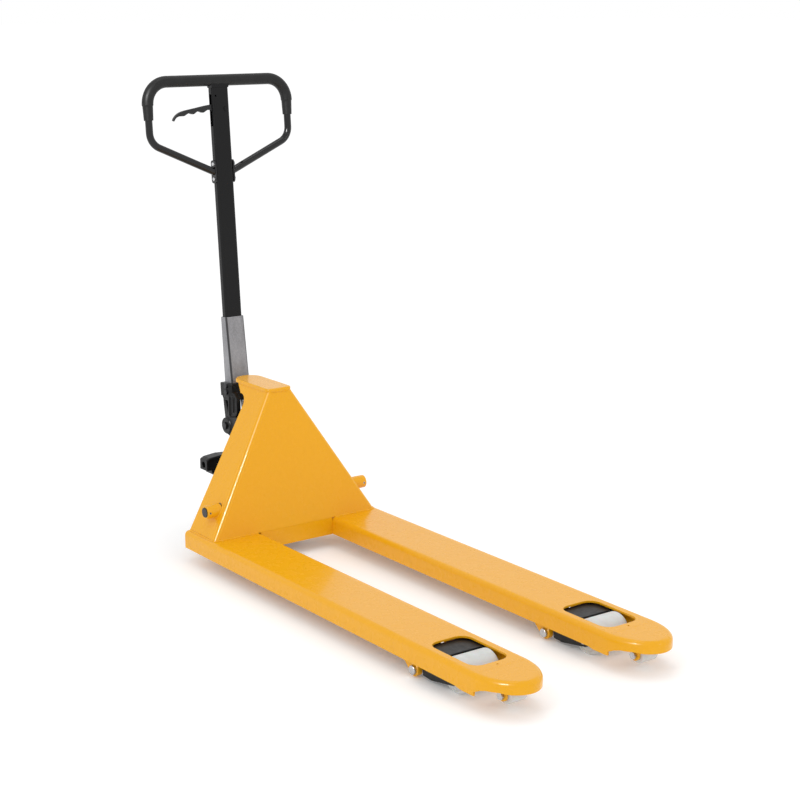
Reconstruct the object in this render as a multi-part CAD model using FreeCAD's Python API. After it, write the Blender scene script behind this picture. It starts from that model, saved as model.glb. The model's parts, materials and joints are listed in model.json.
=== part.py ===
"""Hand pallet truck: two forks on an A-frame, a steered hydraulic pump with a tilting handle, and the
lift linkage that swings the load rollers down under the fork tips.

Millimetres, +Z up, floor at Z = 0.  +X runs along the forks to their tips, +Y is the operator's left.
Everything is drawn with X = 0 at the fork heels, and moved by -ORIGIN_X when it is written out, so that
the finished part has its origin under the middle of its length.  It is drawn lowered, handle upright.
"""
import FreeCAD
import Part

import math
import os

V = FreeCAD.Vector
SIDES = {"right": -1, "left": 1}

# overall
ORIGIN_X = 521.8           # middle of the overall length, measured from the heels
FORK_LENGTH = 1283.0       # heel to tip
FORK_WIDTH = 150.0
FORK_Y = 185.0             # centre line of each fork: 520 over both forks
FORK_TOP = 82.0
FORK_SKIRT = 37.0          # lower edge of the fork sides
SHEET = 5.0
FORK_BEND = 12.0

# fork tip, window and rollers
NOSE = 110.0               # length of the half-elliptical nose
WINDOW = (997.0, 1156.0, 50.0, 27.0)       # X from, X to, half width, corner radius
ROLLER_AXLE = V(1088, 0, 40)
ROLLER_R = 40.0
ROLLER_HALF = 46.5
ROLLER_AXLE_R = 10.0
FRAME_PIVOT = V(966, 0, 17)
FRAME_SWING = 62.0         # degrees that a roller frame turns over the full lift
FRAME_HUB_R = 15.0
FRAME_PIN_R = 8.0
ROD_PIN_FRONT_R = 40.0     # from the frame pivot to the push rod pin
ENTRY_AXLE = V(1221, 0, 37.5)
ENTRY_R = 21.0
ENTRY_HALF = 23.0
ENTRY_LUG_Y = (24.0, 30.0)
ENTRY_HEAD = (16.0, 7.0)    # across flats and thickness of the bolt heads and nuts
ENTRY_AXLE_R = 5.0

# A-frame
PANEL_X = 128.5            # front face of the panel at the fork tops
DECK_X = 140.0             # where the clear deck starts, in front of the panel
FRAME_BEND = 12.0          # between the panel and each flange
PANEL_LEAN = 0.2118        # how far the panel leans back per unit of height
FLANGE_Y = 248.0           # half width of the A-frame at the fork tops
FLANGE_LEAN = 0.6167       # how far each flange leans in per unit of height
A_FRAME_TOP = 426.0
TOP_PLATE = 8.0
TOP_PLATE_R = 38.0

# rocker and push rods
ROCKER = V(79.4, 0, 147.4)
ROCKER_SWING = 52.4        # degrees that the rocker turns over the full lift
ROCKER_SHAFT_R = 12.5
ROCKER_TUBE_R = 22.0
LONG_ARM = 136.0
LONG_ARM_Y = (64.0, 71.0)
SHORT_ARM_Y = (174.0, 186.0)
ROD_R = 10.0
ROD_Z = 57.0
ROD_PIN_R = 6.0
COLLAR_R = 17.0
COLLAR_END_Y = 244.0
ROLL_PIN_R = 3.0

# steering and pump
STEER_X = -57.0            # vertical axis of the ram and of the steering
WHEEL_R = 90.0
WHEEL_Y = (33.0, 80.0)
WHEEL_AXLE_R = 10.0
WHEEL_SWEEP_R = 99.3        # reach of the turning wheels past the long arms
RAM_R = 16.0
TRUNK_R = 28.0
THRUST_Z = (190.0, 200.0)
RACE_Z = (200.0, 212.0)
PUMP_TOP = 345.0

# handle
TILT = V(-142, 0, 300)     # axis of the handle tilt
TILT_RANGE = 75.0          # degrees
EAR_R = 22.0               # hubs of the ears that carry the handle's axle
PRESS_R = 22.0             # from the tilt axis to the pressure roller's axis
PRESS_ROLLER_R = 12.0
PRESS_PIN_R = 6.0
TILT_PIN_R = 9.0
CHEEK_Y = (20.0, 33.0)     # the handle casting's two cheeks
PLUNGER_X = -163.0
PLUNGER_SEAT = 238.0       # top of the plunger's boss, where its spring stands
PLUNGER_R = 8.0
RELEASE_PIVOT = V(-149, 0, 198)            # axis of the lowering lever
RELEASE_PIN_R = 4.0
VALVE_X = -134.0           # the lowering valve's pin, above the lever's front end
VALVE_R = 5.0
HANDLE_FOOT = V(-162.7, 0, 400)            # on the centre line of the handle tube
HANDLE_LEAN = 4.38         # degrees that the tube leans back from upright
TUBE_HALF = (12.0, 25.0)   # half depth and half width of the handle tube
TUBE_Z = (62.0, 789.0)     # along the tube from its foot point
LOOP_R = 9.5
LOOP_HALF = 209.0
LOOP_TOP = 808.0
GRIP_R = 15.0
GRIP_END_Z = 712.0         # lower ends of the grip, along the tube from its foot point
LOOP_BOLT_X = 4.0
LOOP_BOLT_Z = (553.0, 592.0)
LOOP_BOLT_R = 3.0
LEVER_PIVOT_Y = 13.0
LEVER_PIVOT_Z = 734.0
LEVER_PIN_R = 4.0
SOCKET_HALF = (15.1, 28.4)  # half depth and half width at the top
SOCKET_TAPER = 0.062       # extra depth in front per unit of height
SOCKET_WALL = 3.1
SOCKET_BOLT_X = 14.2
SOCKET_BOLT_Z = (-11.0, 5.0)
SOCKET_FOOT_Z = -18.0
CUP_HALF_Y = 39.0          # half width of the cup round the socket's foot
SOCKET_BOLT_R = 4.0
CHAIN_Y = 14.0             # the chain runs beside the plunger

RUN = 0.05                 # radial clearance of a running fit
SHAPES = {}


def box(x0, x1, y0, y1, z0, z1):
    return Part.makeBox(x1 - x0, y1 - y0, z1 - z0, V(x0, y0, z0))


def cyl_y(radius, centre, y0, y1):
    return Part.makeCylinder(radius, y1 - y0, V(centre.x, y0, centre.z), V(0, 1, 0))


def cyl_z(radius, x, y, z0, z1):
    return Part.makeCylinder(radius, z1 - z0, V(x, y, z0), V(0, 0, 1))


def ring_z(outer, inner, x, y, z0, z1):
    return cyl_z(outer, x, y, z0, z1).cut(cyl_z(inner, x, y, z0, z1))


def ring_y(outer, inner, centre, y0, y1):
    return cyl_y(outer, centre, y0, y1).cut(cyl_y(inner, centre, y0, y1))


def rod_between(radius, start, end):
    return Part.makeCylinder(radius, (end - start).Length, start, end - start)


def plate_y(points, y0, y1):
    """A plate with a polygon outline in XZ, between two Y planes."""
    corners = [V(x, y0, z) for x, z in points]
    wire = Part.makePolygon(corners + corners[:1])
    return Part.Face(wire).extrude(V(0, y1 - y0, 0))


def plate_x(points, x0, x1):
    """A plate with a polygon outline in YZ, between two X planes."""
    corners = [V(x0, y, z) for y, z in points]
    wire = Part.makePolygon(corners + corners[:1])
    return Part.Face(wire).extrude(V(x1 - x0, 0, 0))


def link_plate(first, r1, second, r2, y0, y1):
    """A flat link with round ends about two Y axes."""
    along = second - first
    normal = V(-along.z, 0, along.x).normalize()
    corners = [first + normal * r1, second + normal * r2, second - normal * r2, first - normal * r1]
    bar = plate_y([(p.x, p.z) for p in corners], y0, y1)
    return bar.fuse([cyl_y(r1, first, y0, y1), cyl_y(r2, second, y0, y1)]).removeSplitter()


def slot_y(radius, first, second, y0, y1):
    return link_plate(first, radius, second, radius, y0, y1)


def hexagon_y(across, centre, y0, y1):
    radius = across / math.sqrt(3)
    angles = [math.radians(60 * i) for i in range(6)]
    points = [(centre.x + radius * math.cos(a), centre.z + radius * math.sin(a)) for a in angles]
    return plate_y(points, y0, y1)


def about(centre, radius, degrees):
    """The point at a radius and an angle from +X towards +Z."""
    angle = math.radians(degrees)
    return V(centre.x + radius * math.cos(angle), centre.y, centre.z + radius * math.sin(angle))


def shift_y(shape, y):
    moved = shape.copy()
    moved.translate(V(0, y, 0))
    return moved


def mirror_y(shape):
    return shape.mirror(V(0, 0, 0), V(0, 1, 0))


def both_sides(shape):
    return [shape, mirror_y(shape)]


def edges_where(shape, test):
    return [edge for edge in shape.Edges if test(edge)]


def save(name, shape):
    """Keep one node.  A list of separate solids becomes one node of several solids."""
    if isinstance(shape, list):
        shape = Part.makeCompound(shape)
    for solid in shape.Solids:
        if not solid.isValid() or solid.Volume <= 0:
            print("BAD SOLID", name, solid.Volume)
    SHAPES[name] = shape


def write_all():
    os.makedirs("parts", exist_ok=True)
    for name, shape in SHAPES.items():
        placed = shape.copy()
        placed.translate(V(-ORIGIN_X, 0, 0))
        placed.exportStep("parts/" + name + ".step")


# ---- forks and A-frame -------------------------------------------------------------------------------

def fork_plan(inset):
    """The fork's plan outline, a strip that ends in half an ellipse."""
    half = FORK_WIDTH / 2 - inset
    start = FORK_LENGTH - NOSE
    long_axis = NOSE - inset
    big, small = max(long_axis, half), min(long_axis, half)
    ellipse = Part.Ellipse(V(start, 0, 0), big, small)
    tip = [ellipse.toShape(-math.pi / 2, 0), ellipse.toShape(0, math.pi / 2)]
    sides = [Part.makeLine(V(0, -half, 0), V(start, -half, 0)),
             Part.makeLine(V(start, half, 0), V(0, half, 0)),
             Part.makeLine(V(0, half, 0), V(0, -half, 0))]
    wire = Part.Wire([sides[0], tip[0], tip[1], sides[1], sides[2]])
    return Part.Face(wire)


def fork_solid(inset, top, bend):
    """A solid strip with its top edges rolled over, round the tip as well."""
    solid = fork_plan(inset).extrude(V(0, 0, top))
    long_edges = []
    tip_edges = []
    for edge in solid.Edges:
        box_ = edge.BoundBox
        if box_.ZMin < top - 0.1:
            continue
        if box_.XLength > 500:
            long_edges.append(edge)
        elif box_.XLength > 50:
            tip_edges.append(edge)
    return solid.makeFillet(bend, long_edges + tip_edges)


def rounded_window(x0, x1, half, radius, z0, z1):
    block = box(x0, x1, -half, half, z0, z1)
    corners = edges_where(block, lambda e: abs(e.BoundBox.ZLength - (z1 - z0)) < 0.01)
    return block.makeFillet(radius, corners)


def under_cut():
    """What is cut away below the fork: the skirt's lower edge, which steps up under the nose."""
    low = -5.0
    step_x = 1184.0
    points = [(-5, low), (-5, FORK_SKIRT), (step_x - 60, FORK_SKIRT), (step_x - 45, FORK_SKIRT - 3),
              (step_x, FORK_SKIRT - 3), (step_x, FORK_SKIRT + 6)]
    arc_top = [(1190, 45.5), (1202, 51), (1217, 55), (1245, 57), (1265, 55), (1300, 55), (1300, low)]
    return plate_y(points + arc_top, -FORK_WIDTH, FORK_WIDTH)


def make_fork():
    """One fork about Y = 0: an inverted channel with a window, a rod slot and a small grease hole."""
    outer = fork_solid(0, FORK_TOP, FORK_BEND)
    inner = fork_solid(SHEET, FORK_TOP - SHEET, FORK_BEND - SHEET)
    shell = outer.cut([inner, under_cut()])
    window = rounded_window(*WINDOW, FORK_TOP - 2 * SHEET, FORK_TOP + 1)
    rod_slot = box(36, PANEL_X - 9, -8, 18, FORK_TOP - 2 * SHEET, FORK_TOP + 1)
    grease_hole = cyl_z(2.5, 1170, 0, FORK_TOP - 2 * SHEET, FORK_TOP + 1)
    shell = shell.cut([window, rod_slot, grease_hole])
    rear = box(-10, DECK_X, -FORK_WIDTH, FORK_WIDTH, -10, FORK_TOP + 10)
    return shell.common(rear).fuse(shell.cut(rear))


def a_frame_block(inset, x_back):
    """A solid A-frame: flanges lean in, the front leans back."""
    low, high = FORK_TOP, A_FRAME_TOP
    side = inset / math.cos(math.atan(FLANGE_LEAN))
    front = inset / math.cos(math.atan(PANEL_LEAN))

    def half(z):
        return FLANGE_Y - FLANGE_LEAN * (z - FORK_TOP) - side

    def face_x(z):
        return PANEL_X - PANEL_LEAN * (z - FORK_TOP) - front

    z0, z1 = (low, high) if inset == 0 else (low - 20, high + 20)
    prism = plate_x([(-half(z0), z0), (half(z0), z0), (half(z1), z1), (-half(z1), z1)], x_back, 200)
    wedge = plate_y([(face_x(z0), z0), (face_x(z1), z1), (300, z1), (300, z0)], -400, 400)
    block = prism.cut(wedge)
    corners = []
    for edge in block.Edges:
        b = edge.BoundBox
        if b.ZLength > 300 and b.XLength > 30 and b.YLength > 30 and b.XMin > 0:
            corners.append(edge)
    return block.makeFillet(FRAME_BEND - inset, corners)


def back_cut():
    """Side profile of what is open behind the flanges: a leaning edge that sweeps back under the top."""
    back, low, high = -400.0, FORK_TOP - 30, A_FRAME_TOP + 30
    edge_foot = V(4, -400, FORK_TOP)
    edge_top = V(-27, -400, 384)
    sweep_mid = V(-38, -400, 398.5)
    sweep_end = V(-61, -400, 405)
    tail = V(-106, -400, A_FRAME_TOP + 8)
    lines = [Part.makeLine(V(back, -400, low), V(4, -400, low)),
             Part.makeLine(V(4, -400, low), edge_foot),
             Part.makeLine(edge_foot, edge_top),
             Part.Arc(edge_top, sweep_mid, sweep_end).toShape(),
             Part.makeLine(sweep_end, tail),
             Part.makeLine(tail, V(-106, -400, high)),
             Part.makeLine(V(-106, -400, high), V(back, -400, high)),
             Part.makeLine(V(back, -400, high), V(back, -400, low))]
    return Part.Face(Part.Wire(lines)).extrude(V(0, 800, 0))


def make_a_frame():
    """The bent front sheet: a panel and two flanges, with a hole for each shaft collar."""
    shell = a_frame_block(0, -150).cut(a_frame_block(SHEET, -170))
    holes = cyl_y(COLLAR_R, ROCKER, -300, 300)
    return shell.cut([back_cut(), holes])


def make_top_plate():
    """The cap that the ram pushes on, round at the operator's end."""
    z0, z1 = A_FRAME_TOP, A_FRAME_TOP + TOP_PLATE
    centre_x = -130 + TOP_PLATE_R
    front_x = PANEL_X - PANEL_LEAN * (A_FRAME_TOP - FORK_TOP) + 1
    plate = box(centre_x, front_x, -TOP_PLATE_R, TOP_PLATE_R, z0, z1)
    corners = edges_where(plate, lambda e: e.BoundBox.ZLength > TOP_PLATE - 0.1 and e.BoundBox.XMin > 0)
    plate = plate.makeFillet(14, corners)
    plate = plate.fuse(cyl_z(TOP_PLATE_R, centre_x, 0, z0, z1)).removeSplitter()
    top_edges = edges_where(plate, lambda e: e.BoundBox.ZMin > z1 - 0.01)
    return plate.makeFillet(4.0, top_edges)


def make_cross_member():
    """The angle that ties the two heels together under the panel."""
    half = FORK_Y - FORK_WIDTH / 2
    face = box(PANEL_X - SHEET, PANEL_X, -half, half, FORK_SKIRT - 1, FORK_TOP)
    shelf = box(76, PANEL_X - SHEET, -half, half, FORK_TOP - SHEET, FORK_TOP)
    return face.fuse(shelf).removeSplitter()


def make_ram_seat():
    """A cup under the top plate that holds the head of the ram."""
    z0, z1 = A_FRAME_TOP - 24, A_FRAME_TOP
    cup = ring_z(25, RAM_R, STEER_X, 0, z0, z1)
    gusset = box(STEER_X + 24, 45, -4, 4, z0 + 4, z1)
    return cup.fuse(gusset).removeSplitter()


def frame_weldment():
    fork = make_fork()
    for side, sign in SIDES.items():
        save("fork_" + side, shift_y(fork if sign > 0 else mirror_y(fork), sign * FORK_Y))
    save("a_frame_panel", make_a_frame())
    save("top_plate", make_top_plate())
    save("cross_member", make_cross_member())
    save("ram_seat", make_ram_seat())
    save("ram", cyl_z(RAM_R, STEER_X, 0, 160, A_FRAME_TOP))
    collar = ring_y(COLLAR_R, ROCKER_SHAFT_R, ROCKER, 203, COLLAR_END_Y)
    pin_y, pin_reach = COLLAR_END_Y - 7, COLLAR_R - 1.5
    pin_hole = cyl_x(ROLL_PIN_R, pin_y, ROCKER.z, ROCKER.x - 30, ROCKER.x + 30)
    save("shaft_collars", both_sides(collar.cut(pin_hole)))
    shaft = cyl_y(ROCKER_SHAFT_R, ROCKER, -246, 246)
    save("rocker_shaft", shaft.cut(both_sides(pin_hole)))
    pin = cyl_x(ROLL_PIN_R, pin_y, ROCKER.z, ROCKER.x - pin_reach, ROCKER.x + pin_reach)
    pin = pin.cut(cyl_x(1.6, pin_y, ROCKER.z, ROCKER.x - 30, ROCKER.x + 30))
    save("shaft_roll_pins", both_sides(pin))


# ---- load rollers and entry rollers ------------------------------------------------------------------

def make_frame_lugs():
    """Four lugs, two for each fork."""
    lugs = []
    for sign in SIDES.values():
        for inner, outer in ((-62, -50), (50, 62)):
            arm = plate_y([(FRAME_PIVOT.x - 44, 76), (FRAME_PIVOT.x + 12, 76),
                           (FRAME_PIVOT.x + FRAME_HUB_R, FRAME_PIVOT.z),
                           (FRAME_PIVOT.x - 9, FRAME_PIVOT.z - 12),
                           (FRAME_PIVOT.x - 40, FORK_SKIRT - 4)], inner, outer)
            eye = cyl_y(FRAME_HUB_R, FRAME_PIVOT, inner, outer)
            bore = cyl_y(FRAME_PIN_R, FRAME_PIVOT, inner, outer)
            lug = arm.fuse(eye).removeSplitter().cut(bore)
            lugs.append(shift_y(lug, sign * FORK_Y))
    return lugs


def make_frame_pins():
    """The pins that the roller frames swing on, with a head at each end."""
    pins = []
    for sign in SIDES.values():
        shank = cyl_y(FRAME_PIN_R, FRAME_PIVOT, -62, 62)
        heads = [cyl_y(10.5, FRAME_PIVOT, -69, -62), cyl_y(10.5, FRAME_PIVOT, 62, 69)]
        heads = [h.makeFillet(1.5, edges_where(h, lambda e: abs(abs(e.BoundBox.YMin) - 69) < 0.01
                                               and e.BoundBox.YLength < 0.01)) for h in heads]
        pins.append(shift_y(shank.fuse(heads).removeSplitter(), sign * FORK_Y))
    return pins


def make_frame_spacers():
    spacers = []
    for sign in SIDES.values():
        for y0, y1 in ((-49.5, -31), (31, 49.5)):
            spacers.append(shift_y(ring_y(11.5, FRAME_PIN_R + RUN, FRAME_PIVOT, y0, y1), sign * FORK_Y))
    return spacers


def make_roller_frame():
    """One roller frame about Y = 0: hub, web, two cheeks beside the roller and the push rod's ear."""
    pivot, axle = FRAME_PIVOT, ROLLER_AXLE
    rod_pin = about(pivot, ROD_PIN_FRONT_R, 90 + FRAME_SWING / 2)
    hub = cyl_y(FRAME_HUB_R, pivot, -30, 30)
    neck = plate_y([(pivot.x + 2, pivot.z - FRAME_HUB_R), (pivot.x + 50, 8), (pivot.x + 62, 20),
                    (pivot.x + 48, 56), (pivot.x + 22, 50), (pivot.x + 4, pivot.z + 14)], -30, 30)
    web = plate_y([(pivot.x + 24, 10), (pivot.x + 52, 8), (pivot.x + 90, 20), (pivot.x + 94, 74),
                   (pivot.x + 26, 74), (pivot.x + 22, 54)], -57, 57)
    cheeks = []
    for y0, y1 in ((-57, -49), (49, 57)):
        cheek = plate_y([(pivot.x + 24, 10), (pivot.x + 52, 8), (axle.x + 4, axle.z - 19.5),
                         (axle.x, axle.z + 20), (pivot.x + 60, 62), (pivot.x + 30, 54)], y0, y1)
        cheeks.append(cheek.fuse(cyl_y(20, axle, y0, y1)))
    ear = link_plate(pivot, 12, rod_pin, 11.5, -9, 9)
    body = hub.fuse([neck, web, ear] + cheeks).removeSplitter()
    gap = cyl_y(ROLLER_R + 4, axle, -49, 49)
    bores = [cyl_y(FRAME_PIN_R + RUN, pivot, -60, 60), cyl_y(ROLLER_AXLE_R, axle, -60, 60),
             cyl_y(ROD_PIN_R, rod_pin, -20, 20)]
    return body.cut([gap] + bores)


def make_load_roller():
    """A nylon roller with rounded shoulders and a seat for a bearing at each end."""
    roller = cyl_y(ROLLER_R, ROLLER_AXLE, -ROLLER_HALF, ROLLER_HALF)
    shoulders = edges_where(roller, lambda e: e.BoundBox.YLength < 0.01)
    roller = roller.makeFillet(5, shoulders)
    bore = cyl_y(14, ROLLER_AXLE, -ROLLER_HALF, ROLLER_HALF)
    seats = [cyl_y(20, ROLLER_AXLE, -ROLLER_HALF, -33), cyl_y(20, ROLLER_AXLE, 33, ROLLER_HALF)]
    return roller.cut([bore] + seats)


def load_rollers():
    rod_pin = about(FRAME_PIVOT, ROD_PIN_FRONT_R, 90 + FRAME_SWING / 2)
    frame = make_roller_frame()
    roller = make_load_roller()
    bearing = ring_y(20, ROLLER_AXLE_R + RUN, ROLLER_AXLE, 34, 45.5)
    axle = cyl_y(ROLLER_AXLE_R, ROLLER_AXLE, -62, 62)
    grooves = [ring_y(12, 8.8, ROLLER_AXLE, 57.4, 58.8), ring_y(12, 8.8, ROLLER_AXLE, -58.8, -57.4)]
    axle = axle.cut(grooves)
    clip = ring_y(13.5, 8.8, ROLLER_AXLE, 57.4, 58.8)
    gap = box(ROLLER_AXLE.x - 3, ROLLER_AXLE.x + 3, 50, 60, ROLLER_AXLE.z, ROLLER_AXLE.z + 20)
    clip = clip.cut(gap)
    for side, sign in SIDES.items():
        save("roller_frame_" + side, shift_y(frame, sign * FORK_Y))
        save("load_roller_" + side, shift_y(roller, sign * FORK_Y))
        save("roller_bearings_" + side, [shift_y(b, sign * FORK_Y) for b in both_sides(bearing)])
        hardware = [axle, cyl_y(ROD_PIN_R, rod_pin, -20, 20)] + both_sides(clip)
        save("roller_axle_" + side, [shift_y(piece, sign * FORK_Y) for piece in hardware])
    save("roller_frame_lugs", make_frame_lugs())
    save("roller_frame_pins", make_frame_pins() + make_frame_spacers())


def entry_rollers():
    """The small rollers under the tips that lift the forks over a pallet's boards."""
    axle_c = ENTRY_AXLE
    roller = ring_y(ENTRY_R, ENTRY_AXLE_R + RUN, axle_c, -ENTRY_HALF, ENTRY_HALF)
    rims = edges_where(roller, lambda e: e.BoundBox.YLength < 0.01 and e.BoundBox.XLength > 2 * ENTRY_R - 1)
    roller = roller.makeFillet(4, rims)
    lug = plate_y([(axle_c.x - 20, FORK_TOP - SHEET), (axle_c.x + 16, FORK_TOP - SHEET),
                   (axle_c.x + 13, axle_c.z), (axle_c.x - 13, axle_c.z)], *ENTRY_LUG_Y)
    lug = lug.fuse(cyl_y(13, axle_c, *ENTRY_LUG_Y)).removeSplitter().cut(cyl_y(ENTRY_AXLE_R, axle_c, 0, 50))
    across, thick = ENTRY_HEAD
    face = ENTRY_LUG_Y[1]
    bolt = cyl_y(ENTRY_AXLE_R, axle_c, -face, face + thick + 1)
    bolt = bolt.fuse(hexagon_y(across, axle_c, -face - thick, -face)).removeSplitter()
    nut = hexagon_y(across, axle_c, face, face + thick).cut(cyl_y(ENTRY_AXLE_R, axle_c, 0, 50))
    lugs = []
    bolts = []
    nuts = []
    for side, sign in SIDES.items():
        save("entry_roller_" + side, shift_y(roller, sign * FORK_Y))
        lugs += [shift_y(part, sign * FORK_Y) for part in both_sides(lug)]
        bolts.append(shift_y(bolt, sign * FORK_Y))
        nuts.append(shift_y(nut, sign * FORK_Y))
    save("entry_roller_lugs", lugs)
    save("entry_roller_bolts", bolts + nuts)


# ---- rocker, push rods and thrust carrier ------------------------------------------------------------

def carrier_pin():
    return about(ROCKER, LONG_ARM, 180 - ROCKER_SWING / 2)


def short_arm():
    """Length of the rocker's short arm: it moves the rod as far as the roller frame's ear moves."""
    travel = 2 * ROD_PIN_FRONT_R * math.sin(math.radians(FRAME_SWING / 2))
    return travel / (2 * math.sin(math.radians(ROCKER_SWING / 2)))


def rod_rear_pin():
    return about(ROCKER, short_arm(), 270 - ROCKER_SWING / 2)


def make_rocker():
    """The torsion tube with its two long arms to the thrust plate and two short arms to the rods."""
    tube = cyl_y(ROCKER_TUBE_R, ROCKER, -SHORT_ARM_Y[1], SHORT_ARM_Y[1])
    arms = []
    long_arm = link_plate(ROCKER, 23, carrier_pin(), 12, *LONG_ARM_Y)
    wheel_room = cyl_y(WHEEL_SWEEP_R, V(STEER_X, 0, WHEEL_R), 60, 80)
    long_arm = long_arm.cut(wheel_room)
    short = link_plate(ROCKER, 24, rod_rear_pin(), 13, *SHORT_ARM_Y)
    arms += both_sides(long_arm) + both_sides(short)
    body = tube.fuse(arms).removeSplitter()
    bores = [cyl_y(ROCKER_SHAFT_R + RUN, ROCKER, -260, 260), cyl_y(8, carrier_pin(), -100, 100),
             cyl_y(7, rod_rear_pin(), -200, 200)]
    return body.cut(bores)


def make_push_rod():
    """One push rod about Y = 0: a rear lug that rises to the rocker, a bar and a slotted clevis."""
    rear = rod_rear_pin()
    front = about(FRAME_PIVOT, ROD_PIN_FRONT_R, 90 + FRAME_SWING / 2)
    lug = plate_y([(rear.x - 12, rear.z), (rear.x + 12, rear.z), (rear.x + 12, 76), (84, ROD_Z + 9),
                   (128, ROD_Z + 9), (128, ROD_Z - 9), (70, ROD_Z - 9), (rear.x - 8, 74)], 2, 12)
    lug = lug.fuse(cyl_y(13, rear, 2, 12))
    start = V(100, 0, ROD_Z)
    bar = Part.makeCylinder(ROD_R, front.x - 26 - start.x, start, V(1, 0, 0))
    block = box(front.x - 34, front.x - 20, -17, 17, 44, 71)
    rise = 11.5            # the roller frame's pin climbs this far in the slot at half lift
    low, high = front.z - 10.5, front.z + rise + 10.5
    cheeks = [box(front.x - 22, front.x + 13, y0, y1, low, high) for y0, y1 in ((-17, -10.5), (10.5, 17))]
    slot = slot_y(ROD_PIN_R + 0.8, front, front + V(0, 0, rise), -30, 30)
    rod = lug.fuse([bar, block] + cheeks).removeSplitter()
    return rod.cut([slot, cyl_y(7 + RUN, rear, -20, 30)])


def make_thrust_plate():
    """The ring that carries the steering, with an ear each side for the rocker's pins."""
    z0, z1 = THRUST_Z
    disc = ring_z(62.5, TRUNK_R + 1, STEER_X, 0, z0, z1)
    pin = carrier_pin()
    bow = LONG_ARM * (1 - math.cos(math.radians(ROCKER_SWING / 2)))
    ear = box(STEER_X - 22, STEER_X + 36, 56, 62.5, z0, pin.z + 16)
    ear = ear.makeFillet(12, edges_where(ear, lambda e: e.BoundBox.YLength > 6 and e.BoundBox.ZMin > z1))
    slot = slot_y(8 + 1.4, pin + V(1, 0, 0), pin - V(bow + 1, 0, 0), -70, 70)
    return disc.fuse(both_sides(ear)).removeSplitter().cut(slot)


def linkage():
    save("rocker_arm", make_rocker())
    pins = cyl_y(8, carrier_pin(), 56, LONG_ARM_Y[1])
    rod_pin = cyl_y(7, rod_rear_pin(), SHORT_ARM_Y[0], 198)
    head = cyl_y(10, rod_rear_pin(), 198, 202)
    save("rocker_pins", both_sides(pins) + both_sides(rod_pin.fuse(head).removeSplitter()))
    rod = make_push_rod()
    for side, sign in SIDES.items():
        save("push_rod_" + side, shift_y(rod if sign > 0 else mirror_y(rod), sign * FORK_Y))
    save("thrust_plate", make_thrust_plate())


# ---- pump, steering wheels ---------------------------------------------------------------------------

def make_pump_body():
    """The cast pump: axle block, trunk, flange, reservoir, cylinder, handle ears and plunger boss."""
    axis = V(STEER_X, 0, WHEEL_R)
    block = box(STEER_X - 30, STEER_X + 30, -31, 31, WHEEL_R - 24, WHEEL_R + 26)
    block = block.makeFillet(8, edges_where(block, lambda e: e.BoundBox.YLength > 60))
    trunk = cyl_z(TRUNK_R, STEER_X, 0, WHEEL_R, RACE_Z[1])
    flange = cyl_z(54, STEER_X, 0, RACE_Z[1], 228)
    reservoir = cyl_z(60, STEER_X, 0, 227, 292)
    reservoir = reservoir.makeFillet(8, edges_where(reservoir, lambda e: e.BoundBox.ZLength < 0.01))
    cylinder = cyl_z(36, STEER_X, 0, 285, PUMP_TOP)
    web = box(PLUNGER_X, STEER_X - 20, -18, 18, 225, PLUNGER_SEAT)
    boss = cyl_z(18, PLUNGER_X, 0, 208, PLUNGER_SEAT)
    ears = []
    for y0, y1 in ((-44, -34), (34, 44)):
        ear = plate_y([(TILT.x, TILT.z + EAR_R), (STEER_X - 40, 330), (STEER_X - 26, 330), (STEER_X - 26, 240),
                       (TILT.x + 12, 272), (TILT.x - 2, TILT.z - EAR_R)], y0, y1)
        hub_y = (y0 - 4, y1) if y0 < 0 else (y0, y1 + 4)
        ears.append(ear.fuse(cyl_y(EAR_R, TILT, *hub_y)))
    body = block.fuse([trunk, flange, reservoir, cylinder, web, boss] + ears).removeSplitter()
    lever_lugs = [box(-160, -138, y0, y1, 190, 230) for y0, y1 in ((-17, -8), (8, 17))]
    lever_lugs = [lug.makeFillet(9, edges_where(lug, lambda e: e.BoundBox.YLength > 8
                                                and e.BoundBox.ZMax < 200)) for lug in lever_lugs]
    body = body.fuse(lever_lugs).removeSplitter()
    cuts = [cyl_z(RAM_R + RUN, STEER_X, 0, 150, PUMP_TOP + 1),
            cyl_y(WHEEL_AXLE_R, axis, -40, 40),
            cyl_y(TILT_PIN_R, TILT, -60, 60),
            cyl_z(PLUNGER_R + RUN, PLUNGER_X, 0, 200, 250),
            rod_between(7, V(-133, CHAIN_Y, 200), V(-139, CHAIN_Y, 262)),
            cyl_y(RELEASE_PIN_R, RELEASE_PIVOT, -20, 20),
            cyl_z(VALVE_R + RUN, VALVE_X, 0, 200, 226)]
    return body.cut(cuts)


def make_release_lever():
    """The lowering lever under the pump: the chain lifts its front end, a foot presses its bar."""
    arm = plate_y([(-131, 201), (-131, 193), (-160, 188), (-202, 172), (-202, 190), (-160, 203)], -7, 7)
    tip = box(-137, -131, 6, 19, 195, 201)
    bar = [(-76, 164), (-76, 194), (-66, 199), (-30, 203), (12, 200), (12, 172), (-28, 174), (-34, 152),
           (-58, 152), (-62, 164)]
    pedal = plate_x(bar, -238, -200)
    pedal = pedal.makeFillet(4, edges_where(pedal, lambda e: e.BoundBox.XLength < 0.1
                                            and e.BoundBox.ZMin > 190))
    lever = arm.fuse([tip, pedal]).removeSplitter()
    end_hole = cyl_y(8.5, V(-219, 0, 179), -80, -36)
    return lever.cut([end_hole, cyl_y(RELEASE_PIN_R + RUN, RELEASE_PIVOT, -20, 20)])


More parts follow.
